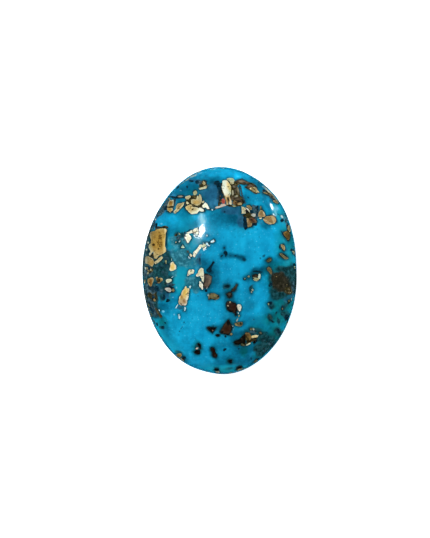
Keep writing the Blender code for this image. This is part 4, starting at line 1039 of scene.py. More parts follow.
        (-6.4, -0.7, 0.4, 0.08, 0.6), (-6.1, 0, 0.16, 0.2, 0.4), (-5.5, 0.25, 0.16, 0.14, 0.4),
        (-5.1, 0.55, 0.2, 0.3, 0.6), (-4.98, 2.6, 0.06, 1.3, 0.6), (-6.75, 1.7, 0.12, 0.16, 0.8),
        (-6.3, 1.72, 0.2, 0.07, 0.6), (3.42, -6.85, 0.26, 0.14, 1, 15), (4.6, -5.95, 0.35, 0.1, 0.7, -20),
        (5.05, -4.85, 0.2, 0.08, 0.9, -30), (4.92, -3.1, 0.2, 0.2, 0.8), (4.7, -4.4, 0.1, 0.1, 0.7),
        (7.2, 0.25, 0.08, 0.25, 0.7), (6.3, -3.1, 0.1, 0.08, 0.6), (5.6, -5.8, 0.14, 0.25, 0.6, 20),
        (-4, 3.1, 0.14, 0.08, 0.7), (-1.78, 0.95, 0.22, 0.24, 0.5), (-2.9, 3.78, 0.3, 0.06, 0.8, 15),
        (3.5, -0.22, 0.35, 0.1, 0.8), (2.38, -0.98, 0.1, 0.1, 0.9), (5.7, 5.35, 0.16, 0.08, 0.6, -30),
        (2.5, 4.6, 0.12, 0.5, 0.9, -6), (2.42, 4.1, 0.12, 0.2, 0.9), (3.32, 4.36, 0.34, 0.1, 1, 15),
        (3.06, 5.56, 0.1, 0.1, 1), (3.7, 6, 0.1, 0.28, 0.9), (0.65, 5.5, 0.12, 0.08, 0.5),
        (3.6, 5.4, 0.1, 0.4, 0.8), (-0.08, 8.1, 0.14, 0.35, 0.8), (-1.2, 8.5, 0.2, 0.12, 0.6, -30),
        (-0.55, 8.4, 0.4, 0.2, 0.5), (-2.1, 8.4, 0.14, 0.24, 0.7), (-3.05, 8, 0.12, 0.1, 0.8),
        (-5.25, -2.7, 0.15, 0.12, 0.9), (-4.35, 7.72, 0.12, 0.08, 0.8, 40),
        (-3.9, 7.85, 0.16, 0.07, 0.7, 35), (-4.98, 5.66, 0.1, 0.12, 0.7), (-6.02, 4.2, 0.1, 0.3, 0.8, -15),
        (-5.6, 0.2, 0.2, 0.15, 0.5), (0.08, 7.6, 0.12, 0.8, 0.7), (-0.12, 8.42, 0.22, 0.2, 0.9),
        (0.06, 6.5, 0.1, 0.4, 0.5), (-2.65, 8.52, 0.3, 0.13, 0.8, -15), (-2.05, 8.42, 0.2, 0.2, 0.7),
        (-3.1, 7.98, 0.13, 0.1, 0.7), (-4.35, 6.96, 0.35, 0.1, 0.9, 5), (-3.3, 6.95, 0.15, 0.12, 0.8),
        (-4, 7.88, 0.3, 0.1, 0.7, 38), (-5.15, 5.95, 0.16, 0.28, 0.9, -20), (2.48, 4.22, 0.22, 0.25, 1),
        (2.42, 4.75, 0.13, 0.5, 0.9), (3.4, 4.36, 0.28, 0.1, 1, -15), (3.1, 5.55, 0.14, 0.14, 0.9),
        (3.72, 6, 0.1, 0.22, 1), (2.72, 6.95, 0.2, 0.09, 0.7, -32), (3.8, 8.2, 0.12, 0.1, 0.5),
        (4.28, 7.68, 0.14, 0.14, 0.9), (4.6, 7.1, 0.3, 0.1, 0.6, -25), (4.88, 6.6, 0.07, 0.22, 0.6),
        (6.05, 4.78, 0.13, 0.13, 0.9), (6.1, 3.4, 0.07, 0.35, 0.9, 20), (5.86, 2.2, 0.08, 0.32, 0.8),
        (6.9, 1.88, 0.15, 0.13, 0.95), (7.12, 1.55, 0.1, 0.2, 0.7), (0.62, 1.58, 0.25, 0.22, 1, -20),
        (0.48, 2.15, 0.11, 0.13, 0.85), (0.25, 1.28, 0.15, 0.08, 0.85, 35), (0.62, 1.28, 0.1, 0.1, 0.7),
        (1.1, 1.35, 0.22, 0.12, 0.5), (1.6, 1.35, 0.12, 0.1, 0.7), (2.35, 1, 0.26, 0.22, 0.6),
        (1.9, 1.25, 0.4, 0.1, 0.4), (2.15, 3.5, 0.09, 0.09, 0.4), (3.5, 3.4, 0.12, 0.06, 0.4, -30),
        (3.85, 3.08, 0.1, 0.07, 0.7, -20), (4.3, 1.42, 0.22, 0.12, 0.6, 35), (4, 1.2, 0.08, 0.12, 0.6),
        (5.3, 0.5, 0.1, 0.08, 0.6), (4.1, 0, 0.1, 0.1, 0.5), (0.78, -1.5, 0.25, 0.16, 0.8),
        (-1.85, 0.95, 0.13, 0.2, 0.4), (-0.4, -0.5, 0.13, 0.13, 0.6), (0.8, -0.75, 0.07, 0.07, 0.5),
        (-1.26, -1.93, 0.17, 0.13, 1), (2.3, -0.9, 0.1, 0.1, 0.8), (-1.95, -2.5, 0.13, 0.07, 0.7),
        (-4.85, -2.95, 0.13, 0.1, 0.9), (-5.15, -2.7, 0.16, 0.1, 0.7), (-5.92, -5.2, 0.12, 0.22, 0.95, 20),
        (-5.4, -5.5, 0.16, 0.16, 0.9), (-5.2, -5.15, 0.12, 0.08, 0.9, -20), (-4.25, -4.3, 0.1, 0.1, 0.35),
        (-3.2, -5.1, 0.11, 0.07, 0.6), (-3.4, -5.65, 0.09, 0.09, 0.6), (-3.7, -5.65, 0.09, 0.07, 0.5),
        (-3.55, -6, 0.06, 0.14, 0.4), (3.3, -4.7, 0.09, 0.09, 0.6), (5.5, -4.05, 0.08, 0.14, 0.8),
        (6.1, -4.2, 0.11, 0.09, 0.7), (6.08, -3.55, 0.13, 0.28, 0.9), (5.62, -4.6, 0.1, 0.12, 0.6),
        (6.55, -4.6, 0.28, 0.32, 0.9, 20), (4.86, -3.05, 0.14, 0.11, 0.95), (4.92, -3.55, 0.11, 0.13, 0.9),
        (5.2, -4.95, 0.16, 0.08, 0.8, -20), (5.62, -5.75, 0.13, 0.13, 0.8),
        (5.82, -6.05, 0.22, 0.14, 0.7, -35), (0.5, -7.6, 0.15, 0.12, 0.95, 15), (0.6, -6.4, 0.11, 0.11, 1),
        (3.05, -8.45, 0.12, 0.16, 0.6), (1.9, -7.5, 0.13, 0.09, 0.8, 20), (3.35, -6.98, 0.14, 0.15, 0.95),
        (4.95, -1.3, 0.12, 0.15, 0.8), (4.75, -1.52, 0.09, 0.07, 0.8), (7.25, -2.15, 0.12, 0.15, 1),
        (6.65, -3.12, 0.12, 0.1, 0.6), (0.6, 5.55, 0.1, 0.12, 0.5), (0.8, 5.3, 0.16, 0.08, 0.4, 20),
        (1.2, 4.85, 0.16, 0.1, 0.3), (1.2, -9.4, 0.4, 0.2, 0.5), (-0.7, -9.15, 0.12, 0.12, 0.4),
        (-5.9, 4.05, 0.3, 0.12, 0.5), (3.85, -0.25, 0.35, 0.1, 0.7), (3.6, -0.2, 0.2, 0.15, 0.6),
        (4.8, -6.4, 0.12, 0.16, 0.7),
    ],
}
# Thin lines in the stone, each added to the clouds of its kind: half width, strength, then x
# and y of each point on its way.
lines = {
    "brown": [
        (0.11, 1, 0.26, 8.3, 0.28, 7.9, 0.38, 7.5, 0.5, 7.15, 0.44, 6.9),
        (0.1, 0.45, 4.02, -7.2, 4.08, -7.6, 4.2, -8.1),
        (0.07, 1, 4.15, 7.62, 4.5, 7.6, 4.8, 7.5, 5.1, 7.3, 5.3, 6.95),
        (0.06, 0.9, 4.2, 7.4, 4.6, 7.2, 5, 6.95, 5.2, 6.72),
        (0.09, 0.8, 0.2, 8.1, 0.22, 7.5, 0.26, 6.95, 0.14, 6.5, 0.05, 6.15),
        (0.08, 1, 0.6, 6.16, 1.2, 6.1, 2, 6.12),
        (0.07, 1, 2.9, 8.34, 3.3, 8.16, 3.6, 7.86),
        (0.06, 1, 2.5, 7.92, 2.9, 7.66, 3.24, 7.46, 3.6, 7.34),
        (0.05, 1, 0.8, 8.62, 1.02, 8.4, 1.12, 8.1, 1.16, 7.7),
        (0.05, 0.9, 0.96, 8.56, 1.3, 8.48, 1.5, 8.4),
        (0.07, 1, -2.5, 6.14, -2.2, 6.05, -1.85, 6.05, -1.6, 6.2, -1.52, 6.42),
        (0.09, 1, -2.95, 6.62, -2.75, 6.5, -2.6, 6.3),
        (0.05, 1, 0.12, 8, 0.16, 7.4, 0.12, 6.8, 0.02, 6.2),
        (0.08, 1, -6.68, 1.38, -6.35, 1.22, -6, 1.04),
        (0.07, 1, -5.9, 1.3, -5.6, 1.38, -5.36, 1.42),
        (0.09, 1, -6.1, 3.92, -5.9, 4.05, -5.2, 4.07, -4.92, 3.98),
        (0.08, 0.9, -6.72, 3.6, -7, 2.6, -7.2, 1.6),
        (0.1, 0.9, -6.15, -3.75, -5.85, -4.1, -5.5, -4.45),
        (0.05, 0.9, -4.95, 6.02, -4.6, 6.04, -4.4, 6),
        (0.07, 0.9, -5, 6.7, -4.97, 6.3, -5.02, 5.9),
    ],
    "slate": [
        (0.09, 0.9, -3.26, 3.7, -3.32, 3.2, -3.26, 2.7),
        (0.09, 0.9, 2, 8.2, 2.12, 7.7, 2.08, 7.2, 2.3, 6.75, 2.5, 6.3),
        (0.09, 1, -4.2, 6.75, -4.22, 6.3, -4.32, 5.6),
    ],
    "dark": [
        (0.1, 0.9, 0.16, 8.3, 0.22, 7.7, 0.34, 7.1, 0.26, 6.8),
        (0.13, 0.85, -1.1, -0.04, -0.82, 0.12, -0.62, 0.4, -0.48, 0.66),
        (0.06, 0.8, 4.4, -6.6, 4.8, -6.9, 5.1, -7.25),
        (0.05, 0.4, -3.3, -4.7, -3.5, -5.3, -3.9, -6),
        (0.08, 0.9, -4.9, 6.98, -4.5, 6.95, -4.1, 6.9, -3.8, 6.9, -3.3, 6.92),
        (0.06, 0.8, -4.05, 7.1, -3.75, 7.2, -3.3, 7.15),
    ],
    # the lines along the outline at the top left, the left and the bottom are painted reflection, a pale edge
    # where the rim would catch the bright room; the one at the upper right is a pale band of matrix
    "bone": [
        (0.05, 0.5, 0.9, -9.86, 1.4, -9.8, 2.4, -9.6, 3.1, -9.28),
        (0.1, 0.5, -4.4, 7.55, -3.95, 8.02, -3.45, 8.43, -3, 8.75, -2.5, 9),
        (0.08, 0.6, 4.3, 8.05, 4.8, 7.58, 5.3, 7.02, 5.75, 6.4),
        (0.05, 0.6, -7.25, 1.4, -7.1, 2.4, -6.95, 3.2, -6.72, 3.85),
        (0.05, 0.6, -7.32, 0.9, -7.34, 0, -7.25, -1.2),
        (0.04, 0.45, -6.75, -2.2, -6.55, -2.4, -6.4, -2.5),
        (0.05, 0.6, -7.2, -1.5, -7.15, -2.2, -6.97, -3.1, -6.77, -3.75, -6.5, -4.4),
    ],
    "pale": [
        (0.04, 0.5, -1.5, 7.6, -0.8, 7.62, -0.2, 7.45, 0.2, 7.15),
        (0.04, 0.5, 2.1, -3.62, 2.6, -3.32, 2.88, -3),
        (0.05, 0.7, 1.46, -5.5, 1.36, -5.7, 1.24, -5.92),
        (0.06, 0.8, 1.86, -4.5, 1.76, -4.75, 1.58, -4.98),
    ],
}
# The back wasn't seen: the same kinds of cloud, thrown at random.
backClouds = {
    "seed": 5,
    "each": {"deep": 24, "teal": 7, "veil": 7, "navy": 7, "matrix": 9, "brown": 5, "dark": 26},
    "sizes": (0.5, 1.7),
    "darkSizes": (0.1, 0.3),
    "stretch": (0.5, 1.6),
    "strengths": (0.6, 1),
    "reach": 0.95,
}
# How the clouds and the grains' beds are laid in the stone, in millimetres.
painting = {
    "soft": ("deep", "teal", "sea", "moss", "umber"),
    "softCrispness": 4.0,
    "crispness": 6.5,
    "lineCrispness": 4,
    "bends": [(0.9, 0.16), (3.1, 0.07)],  # waves per millimetre, and how far they push a cloud
    "bedDepth": 0.05,
    "bedSlope": 0.8,
    "bedMargin": 0.02,
    "bedsFrom": 1.02,  # above this share of the wall's height
    "topFrom": 0.5,  # the back's clouds end at this share of the bevel's height
}


def smoothEdge(away, crispness):
    # 1 well inside, half at the edge, where away is 0, and soon nothing outside it
    return 1 / (1 + np.exp(np.clip(away * crispness, -30, 30)))


def cloudAmount(x, y, spots, crispness):
    total = np.zeros(len(x))
    for atX, atY, wide, long, strength, *turn in spots:
        side, up = x - atX, y - atY
        angle = math.radians(sum(turn))
        across = (side * math.cos(angle) + up * math.sin(angle)) / wide
        along = (up * math.cos(angle) - side * math.sin(angle)) / long
        inside = strength * smoothEdge(np.hypot(across, along) - 1, crispness)
        total = 1 - (1 - total) * (1 - inside)
    return total


def gapToLine(x, y, start, end):
    # how far each point is from a straight line between two points
    runX, runY = end[0] - start[0], end[1] - start[1]
    along = np.clip(((x - start[0]) * runX + (y - start[1]) * runY) / (runX ** 2 + runY ** 2), 0, 1)
    return np.hypot(x - start[0] - along * runX, y - start[1] - along * runY)


def lineAmount(x, y, runs):
    total = np.zeros(len(x))
    for wide, strength, *places in runs:
        points = pairs(places)
        closest = np.min([gapToLine(x, y, start, end) for start, end in zip(points, points[1:])], axis=0)
        inside = strength * smoothEdge(closest / wide - 1, painting["lineCrispness"])
        total = 1 - (1 - total) * (1 - inside)
    return total


def gapToGrains(x, y, outlines):
    # how far each point is from the nearest grain, in millimetres, below 0 inside one
    reach, farOff, paleGap = 0.9, 1.0, 0.12
    gap = np.full(len(x), farOff)
    for rim, points in outlines:
        corners = np.array(points)
        low, high = corners.min(0) - reach, corners.max(0) + reach
        near = np.nonzero((x > low[0]) & (x < high[0]) & (y > low[1]) & (y < high[1]))[0]
        if not len(near):
            continue
        nearX, nearY = x[near], y[near]
        sides = list(zip(corners, np.roll(corners, -1, 0)))
        closest = np.min([gapToLine(nearX, nearY, start, end) for start, end in sides], axis=0)
        inside = np.zeros(len(near), bool)
        for start, end in sides:
            crosses = (start[1] > nearY) != (end[1] > nearY)
            slope = (end[0] - start[0]) / (end[1] - start[1]) if end[1] != start[1] else 0.0
            inside ^= crosses & (nearX < start[0] + (nearY - start[1]) * slope)
        # a grain with a weak rim counts as further off, so that the stain round it is paler
        signed = np.where(inside, -closest, closest + (1 - rim) * paleGap)
        gap[near] = np.minimum(gap[near], signed)
    return gap


def evenShares():
    # shares of the way out that come at even steps along the section, for an even grid
    rises = np.linspace(0, math.pi / 2, stone["sectionSteps"])
    shares = np.cos(rises) ** (2 / stone["fullness"])
    heights = (stone["height"] - stone["girdle"]) * np.sin(rises)
    half = (stone["width"] + stone["length"]) / 4
    steps = np.hypot(np.diff(shares[::-1]) * half, np.diff(heights[::-1]))
    lengths = np.concatenate(([0], np.cumsum(steps)))
    return lengths / lengths[-1], shares[::-1]


def roundGrid(mesh, across, along, onCircle):
    # a square grid drawn out to a round one, each point then placed by onCircle
    made = bmesh.ops.create_grid(mesh, x_segments=across, y_segments=along, size=1)["verts"]
    for vert in made:
        x = vert.co.x * math.sqrt(1 - vert.co.y ** 2 / 2)
        y = vert.co.y * math.sqrt(1 - vert.co.x ** 2 / 2)
        vert.co = onCircle(min(1.0, math.hypot(x, y)), math.atan2(y, x))
    return made


def makeStone(material):
    mesh = bmesh.new()
    lengths, shares = evenShares()

    def dome(out, direction):
        share = girdleTop * float(np.interp(out, lengths, shares))
        x, y = ovalPoint(share, direction)
        return (x, y, heightAt(share) + swell(x, y, share))

    roundGrid(mesh, stone["gridAcross"], stone["gridAlong"], dome)
    rim = [edge for edge in mesh.edges if edge.is_boundary]
    bevel = stone["backBevel"]
    rows = []
    for row in range(1, stone["wallRows"] + 1):
        part = row / stone["wallRows"]
        rows.append((girdleTop + (1 - girdleTop) * part, stone["girdle"] + (bevel - stone["girdle"]) * part))
    for row in range(1, stone["bevelRows"] + 1):
        angle = math.radians(90) * row / stone["bevelRows"]
        inward = bevel * (1 - math.cos(angle)) / (stone["width"] / 2)
        rows.append((1 - inward, bevel * (1 - math.sin(angle))))
    for share, height in rows:
        grown = bmesh.ops.extrude_edge_only(mesh, edges=rim)["geom"]
        for vert in (item for item in grown if isinstance(item, bmesh.types.BMVert)):
            direction = ovalPlace(vert.co.x, vert.co.y)[1]
            vert.co = (*ovalPoint(share, direction), height)
        rim = [item for item in grown if isinstance(item, bmesh.types.BMEdge) and item.is_boundary]
    inner = rows[-1][0] - stone["backMargin"]

    def back(out, direction):
        return (*ovalPoint(inner * out, direction), 0.0)

    backVerts = set(roundGrid(mesh, stone["backAcross"], stone["backAlong"], back))
    backRim = [edge for edge in mesh.edges if edge.is_boundary and edge.verts[0] in backVerts]
    bmesh.ops.bridge_loops(mesh, edges=rim + backRim)
    bmesh.ops.recalc_face_normals(mesh, faces=mesh.faces)
    paintStone(mesh)
    piece = finishPiece("turquoiseStone", mesh, material, stone["sharpAngle"])
    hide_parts("cabochon")
    print("turquoiseStone ground,", len(piece.data.polygons), "faces")
    return piece


def throwClouds(dice, kind):
    sizes = backClouds["darkSizes"] if kind == "dark" else backClouds["sizes"]
    thrown = []
    for _ in range(backClouds["each"].get(kind, 0)):
        size = dice.uniform(*sizes)
        spot = ovalPoint(backClouds["reach"] * math.sqrt(dice.random()), dice.uniform(0, math.tau))
        long = size * dice.uniform(*backClouds["stretch"])
        turn = dice.uniform(0, 180)
        thrown.append((*spot, size, long, dice.uniform(*backClouds["strengths"]), turn))
    return thrown


def paintStone(mesh):
    # stores each kind of cloud and the gap to the grains on the points, and sinks the grains' beds
    layers = {kind: mesh.verts.layers.float.new(kind) for kind in (*clouds, "gap")}
    layers = {kind: mesh.verts.layers.float[kind] for kind in layers}
    verts = mesh.verts[:]
    places = np.array([vert.co for vert in verts])
    # the wall is laid out flat beyond the rim, so that no mark runs straight down it
    down = np.maximum(0, stone["girdle"] - places[:, 2])
    out = np.hypot(places[:, 0] / stone["width"] ** 2, places[:, 1] / stone["length"] ** 2)
    flatX = places[:, 0] + down * places[:, 0] / stone["width"] ** 2 / np.maximum(out, 1e-6)
    flatY = places[:, 1] + down * places[:, 1] / stone["length"] ** 2 / np.maximum(out, 1e-6)
    onTop = places[:, 2] > stone["backBevel"] * painting["topFrom"]
    x = np.where(onTop, flatX, places[:, 0]) - marksShift[0]
    y = np.where(onTop, flatY, places[:, 1]) - marksShift[1]
    for waves, reach in painting["bends"]:
        bend = np.array([noise.noise_vector(vert.co * waves)[:2] for vert in verts])
        x = x + reach * bend[:, 0]
        y = y + reach * bend[:, 1]
    dice = random.Random(backClouds["seed"])
    for kind, spots in clouds.items():
        thrown = throwClouds(dice, kind)
        crispness = painting["softCrispness" if kind in painting["soft"] else "crispness"]
        above = 1 - (1 - cloudAmount(x, y, spots, crispness)) * (1 - lineAmount(x, y, lines.get(kind, [])))
        amount = np.where(onTop, above, cloudAmount(x, y, thrown, crispness))
        for vert, value in zip(verts, amount):
            vert[layers[kind]] = value
    minerals = (pyrite, ironstone, quartz, hematite)
    seen = [(stain, outline) for look in minerals for stain, _, outline in grainsOf(look)]
    under = [(1.0, outline) for _, _, place, outline in hidden if place is onBack]
    gap = np.where(
        onTop, gapToGrains(flatX, flatY, seen), gapToGrains(places[:, 0], places[:, 1], under)
    )
    for vert, value in zip(verts, gap):
        vert[layers["gap"]] = value
        if value < -painting["bedMargin"] and vert.co.z > stone["girdle"] * painting["bedsFrom"]:
            vert.co.z -= min(painting["bedDepth"], -value * painting["bedSlope"])


# Materials.

turquoiseLook = {
    "patterns": {"broad": (3.4, 4), "patch": (1.0, 5), "fine": (0.3, 3), "broken": (0.26, 6)},  # mm, detail
    "roughPattern": 0.55,
    "streak": (0.45, 5, 3),  # the body's streaks in mm, across, along and down
    "shares": {"patch": 0.45, "broad": 0.35, "streak": 0.2},  # what each adds to the body's tone
    "body": [(0.34, "#0a82ae"), (0.46, "#0f94c0"), (0.56, "#13a2ce"), (0.68, "#22b2dc")],
    # paler and deeper specks: spacing in mm, half width as a share, the share left out, colour
    "specks": [(0.3, 0.32, 0.6, "#58c8e4"), (0.2, 0.32, 0.6, "#4abcdc"), (0.42, 0.34, 0.45, "#06608a")],
    "speckCore": 0.05,
    "speckStrength": 0.4,
    "speckBend": (0.5, 0.3),  # size and reach in mm of the bends that make the specks ragged
    # each kind of cloud: how ragged its edge is, where it starts and is full, its pattern and colours
    "clouds": {
        "deep": (0.5, 0.0, 1.0, "patch", [(0.35, "#03445c"), (0.65, "#066080")]),
        "teal": (0.35, 0.25, 0.9, "patch", [(0.35, "#0a82a0"), (0.65, "#1294ac")]),
        "sea": (0.5, 0.15, 1.0, "patch", [(0.35, "#03484e"), (0.65, "#066a70")]),
        "pale": (0.45, 0.4, 0.9, "fine", [(0.35, "#3fa3c8"), (0.65, "#7cbcd2")]),
        "veil": (0.6, 0.3, 0.85, "fine", [(0.32, "#17505f"), (0.5, "#256a7c"), (0.68, "#4590a2")]),
        "navy": (0.5, 0.35, 0.8, "patch", [(0.3, "#123f5a"), (0.5, "#1d5878"), (0.7, "#2f7496")]),
        "matrix": (0.8, 0.4, 0.75, "broken", [
            (0.3, "#080f12"), (0.42, "#132e34"), (0.5, "#1c4650"), (0.57, "#225666"), (0.64, "#3d5c54"),
            (0.72, "#85826c"),
        ]),
        "moss": (0.45, 0.25, 0.85, "fine", [(0.34, "#06262a"), (0.5, "#0f383d"), (0.64, "#1e4c54")]),
        "umber": (0.6, 0.25, 0.85, "fine", [(0.35, "#191a12"), (0.52, "#27261c"), (0.68, "#343229")]),
        "brown": (0.6, 0.38, 0.75, "broken", [
            (0.32, "#12140b"), (0.48, "#25240f"), (0.58, "#3a361d"), (0.7, "#6c6140"),
        ]),
        "slate": (0.6, 0.35, 0.75, "broken", [(0.35, "#12242a"), (0.5, "#243e48"), (0.65, "#405e6a")]),
        "dark": (0.3, 0.3, 0.75, "fine", [(0.35, "#04141c"), (0.65, "#0a2c3c")]),
        "bone": (0.5, 0.35, 0.7, "fine", [(0.35, "#6a766c"), (0.5, "#98a08e"), (0.65, "#c8ccba")]),
    },
    "lowest": ("deep", "teal", "sea", "pale", "veil", "navy", "matrix"),
    # the stain round each grain, deep teal and then olive black at its edge: where it starts and is
    # full, how strong it is, its colour, and the clouds that lie over it
    "stains": [
        (0.48, 0.1, 0.72, "#055060", ()),
        (0.3, 0.1, 0.8, "#0a3844", ("moss", "umber")),
        (0.16, 0.06, 0.9, "#16180f", ("brown", "slate", "dark", "bone")),
    ],
    "stainRag": {"fine": 0.16, "patch": 0.5},  # how far each pattern moves the stain's edge
    "roughness": (0.085, 0.2),  # of the blue, and of the softer matrix
    "bumpStrength": 0.5,
    "bumpHeight": 0.012,
    "ior": 1.61,
}


def polishedTurquoise():
    # hydrous copper aluminium phosphate, ground and hand polished: dense and opaque, with a waxy gloss
    material, tree, shader = newMaterial("polishedTurquoise")
    place = add(tree, "TexCoord").outputs["Object"]
    seen = {
        name: mottle(tree, place, size, detail, turquoiseLook["roughPattern"])
        for name, (size, detail) in turquoiseLook["patterns"].items()
    }
    stretched = add(tree, "Mapping", {}, {
        "Vector": place, "Scale": [1 / (size * mm) for size in turquoiseLook["streak"]],
    }).outputs[0]
    streaks = {"Vector": stretched, "Scale": 1.0, "Detail": 3}
    seen["streak"] = add(tree, "TexNoise", {}, streaks).outputs["Fac"]
    body = 0.0
    for name, share in turquoiseLook["shares"].items():
        body = combine(tree, "MULTIPLY_ADD", seen[name], share, body)
    under = ramp(tree, body, turquoiseLook["body"])

    broken = bentPlace(tree, place, *turquoiseLook["speckBend"])
    for spacing, reach, leftOut, hexValue in turquoiseLook["specks"]:
        specks = add(tree, "TexVoronoi", {}, {"Vector": broken, "Scale": 1 / (spacing * mm)})
        chance = add(tree, "SeparateColor", {}, {0: specks.outputs["Color"]}).outputs[1]
        kept = combine(tree, "GREATER_THAN", chance, leftOut)
        core, most = turquoiseLook["speckCore"], turquoiseLook["speckStrength"]
        dot = smoothRise(tree, specks.outputs["Distance"], reach, core, most)
        under = blend(tree, combine(tree, "MULTIPLY", dot, kept), under, colour(hexValue))

    amounts = {}

    def cloud(kind, under):
        rag, start, full, pattern, stops = turquoiseLook["clouds"][kind]
        ragged = combine(tree, "MULTIPLY_ADD", seen["fine"], rag, stored(tree, kind))
        amounts[kind] = smoothRise(tree, ragged, start + rag / 2, full + rag / 2)
        return blend(tree, amounts[kind], under, ramp(tree, seen[pattern], stops))

    for kind in turquoiseLook["lowest"]:
        under = cloud(kind, under)
    stain = stored(tree, "gap")
    for name, rag in turquoiseLook["stainRag"].items():
        stain = combine(tree, "MULTIPLY_ADD", seen[name], rag, stain)
    stain = combine(tree, "SUBTRACT", stain, turquoiseLook["stainRag"]["patch"] / 2)
    for start, end, most, hexValue, kinds in turquoiseLook["stains"]:
        under = blend(tree, smoothRise(tree, stain, start, end, most), under, colour(hexValue))
        for kind in kinds:
            under = cloud(kind, under)
    tree.links.new(under, shader.inputs["Base Color"])

    # a high polish on the blue, duller where the matrix is softer
    dull = combine(tree, "MAXIMUM", amounts["matrix"], amounts["brown"])
    gloss = linearRise(tree, dull, 0.0, 1.0, *turquoiseLook["roughness"])
    tree.links.new(gloss, shader.inputs["Roughness"])
    shader.inputs["IOR"].default_value = turquoiseLook["ior"]
    relief = combine(tree, "MULTIPLY", seen["fine"], gloss)
    addBump(tree, shader, turquoiseLook, relief)
    return material


# What all the grains share, with sizes in millimetres. Their marks shift the tone or tint it.
grainLook = {
    "tints": {"gold": "#ffdc8a", "cool": "#c8e2d8", "rust": "#c88a64"},
    "light": 0.3,
    "tarnish": -0.55,
    "tarnishSpecks": (0.95, 1.35),  # where tarnish and fine noise together start to show, and are full
    "speckContrast": 1.2,
    "fineSize": 0.07,
    "glossFrom": (0.3, 0.7),  # the blotches that take the roughness from one end to the other
    "crystalSize": 0.7,  # cracks run between crystals
    "crackBend": (0.25, 0.25),
    "cracksFrom": (0.5, 0.65),
    "crackDepth": 0.9,
    "bumpStrength": 0.6,
    "bumpHeight": 0.02,
}
# Each mineral's tones run along the grain's own tone, which its blotches and its edge shift.
# Roughness runs from smoothest to roughest.
mineralLooks = {
    "pyrite": {
        "tones": [(0.1, "#2a2414"), (0.3, "#524c38"), (0.48, "#7e7254"), (0.6, "#9e8a5c"), (0.72, "#b6ab82"),
            (0.85, "#d2cea8"), (1.0, "#ecefde")],
        "blotches": 0.45,
        "blotchSize": 0.35,
        "edgeLift": 0.1,
        "roughness": (0.5, 0.62),
        "cracks": 0.11,
        "crackTint": "#2a2612",
    },
    "ironstone": {
        "tones": [(0.0, "#050708"), (0.12, "#120e0b"), (0.25, "#261a12"), (0.42, "#4a3a28"), (0.6, "#6a5f4c"),
            (0.8, "#8c8472"), (1.0, "#c0b096")],
        "blotches": 0.4,
        "blotchSize": 0.22,
        "edgeLift": -0.25,
        "roughness": (0.25, 0.45),
        "cracks": 0.1,
        "crackTint": "#0a0908",
    },
    "quartz": {
        "tones": [(0.0, "#b4e0ee"), (0.3, "#98c2ce"), (0.5, "#93a8a2"), (0.75, "#bcaea0"), (0.95, "#bc9a86")],
        "blotches": 0.2,
        "blotchSize": 0.3,
        "edgeLift": 0.12,
        "roughness": (0.12, 0.25),
        "cracks": 0.05,
        "crackTint": "#2f5560",
    },
    "hematite": {
        "tones": [(0.25, "#6e2a22"), (0.48, "#9e3c30"), (0.7, "#b66c58")],
        "blotches": 0.35,
        "blotchSize": 0.2,
        "edgeLift": 0.2,
        "roughness": (0.45, 0.6),
        "cracks": 0.06,
        "crackTint": "#5a2420",
    },
}


def mineralMaterial(name, look):
    material, tree, shader = newMaterial(name)
    place = add(tree, "TexCoord").outputs["Object"]
    patch = mottle(tree, place, look["blotchSize"], 5, 0.6)
    fine = mottle(tree, place, grainLook["fineSize"], 3)
    level = combine(tree, "MULTIPLY_ADD", patch, look["blotches"], stored(tree, "tone"))
    level = combine(tree, "SUBTRACT", level, look["blotches"] / 2)
    specks = combine(tree, "MULTIPLY_ADD", fine, grainLook["speckContrast"], stored(tree, "tarnish"))
    tarnish = smoothRise(tree, specks, *grainLook["tarnishSpecks"], grainLook["tarnish"])
    level = combine(tree, "ADD", level, tarnish)
    level = combine(tree, "MULTIPLY_ADD", stored(tree, "light"), grainLook["light"], level)
    level = combine(tree, "MULTIPLY_ADD", stored(tree, "edge"), look["edgeLift"], level)
    base = ramp(tree, level, look["tones"])
    for kind, hexValue in grainLook["tints"].items():
        base = blend(tree, stored(tree, kind), base, colour(hexValue), "MULTIPLY")
    # the cracks open and close along their length
    crystals = add(tree, "TexVoronoi", {"feature": "DISTANCE_TO_EDGE"}, {
        "Vector": bentPlace(tree, place, *grainLook["crackBend"]),
        "Scale": 1 / (grainLook["crystalSize"] * mm),
    }).outputs["Distance"]
    width = linearRise(tree, patch, *grainLook["cracksFrom"], 0.0, look["cracks"])
    crack = smoothRise(tree, crystals, width, 0.0, grainLook["crackDepth"])
    base = blend(tree, crack, base, colour(look["crackTint"]))
    tree.links.new(base, shader.inputs["Base Color"])
    smoothest, roughest = look["roughness"]
    gloss = linearRise(tree, patch, *grainLook["glossFrom"], roughest, smoothest)
    tree.links.new(gloss, shader.inputs["Roughness"])
    addBump(tree, shader, grainLook, combine(tree, "ADD", fine, patch))
    return material, shader


def polishedPyrite():
    # iron sulphide, cut through and polished: pale brass metal, browner where it has tarnished, and paler or
    # browner grain by grain with painted reflection carried in the tone
    material, shader = mineralMaterial("polishedPyrite", mineralLooks["pyrite"])
    shader.inputs["Metallic"].default_value = 1.0
    return material


def rustyIronstone():
    # limonite and goethite, the pyrite's own rust: dark brown to black, and only half polished
    material, shader = mineralMaterial("rustyIronstone", mineralLooks["ironstone"])
    shader.inputs["IOR"].default_value = 2.0
    return material


def milkyQuartz():
    # quartz and feldspar slivers: white with the blue of the stone in it, some stained pink
    material, shader = mineralMaterial("milkyQuartz", mineralLooks["quartz"])
    shader.inputs["IOR"].default_value = 1.55
    return material


def redHematite():
    # earthy iron oxide: a soft dull red
    material, shader = mineralMaterial("redHematite", mineralLooks["hematite"])
    shader.inputs["IOR"].default_value = 1.5
    return material


makeStone(polishedTurquoise())
grains = makeGrains("pyriteGrains", pyrite, "pyrite", polishedPyrite())
makeGrains("ironstoneGrains", ironstone, "ironstone", rustyIronstone())
makeGrains("quartzSlivers", quartz, "quartz", milkyQuartz())
makeGrains("hematiteSpot", hematite, "hematite", redHematite())


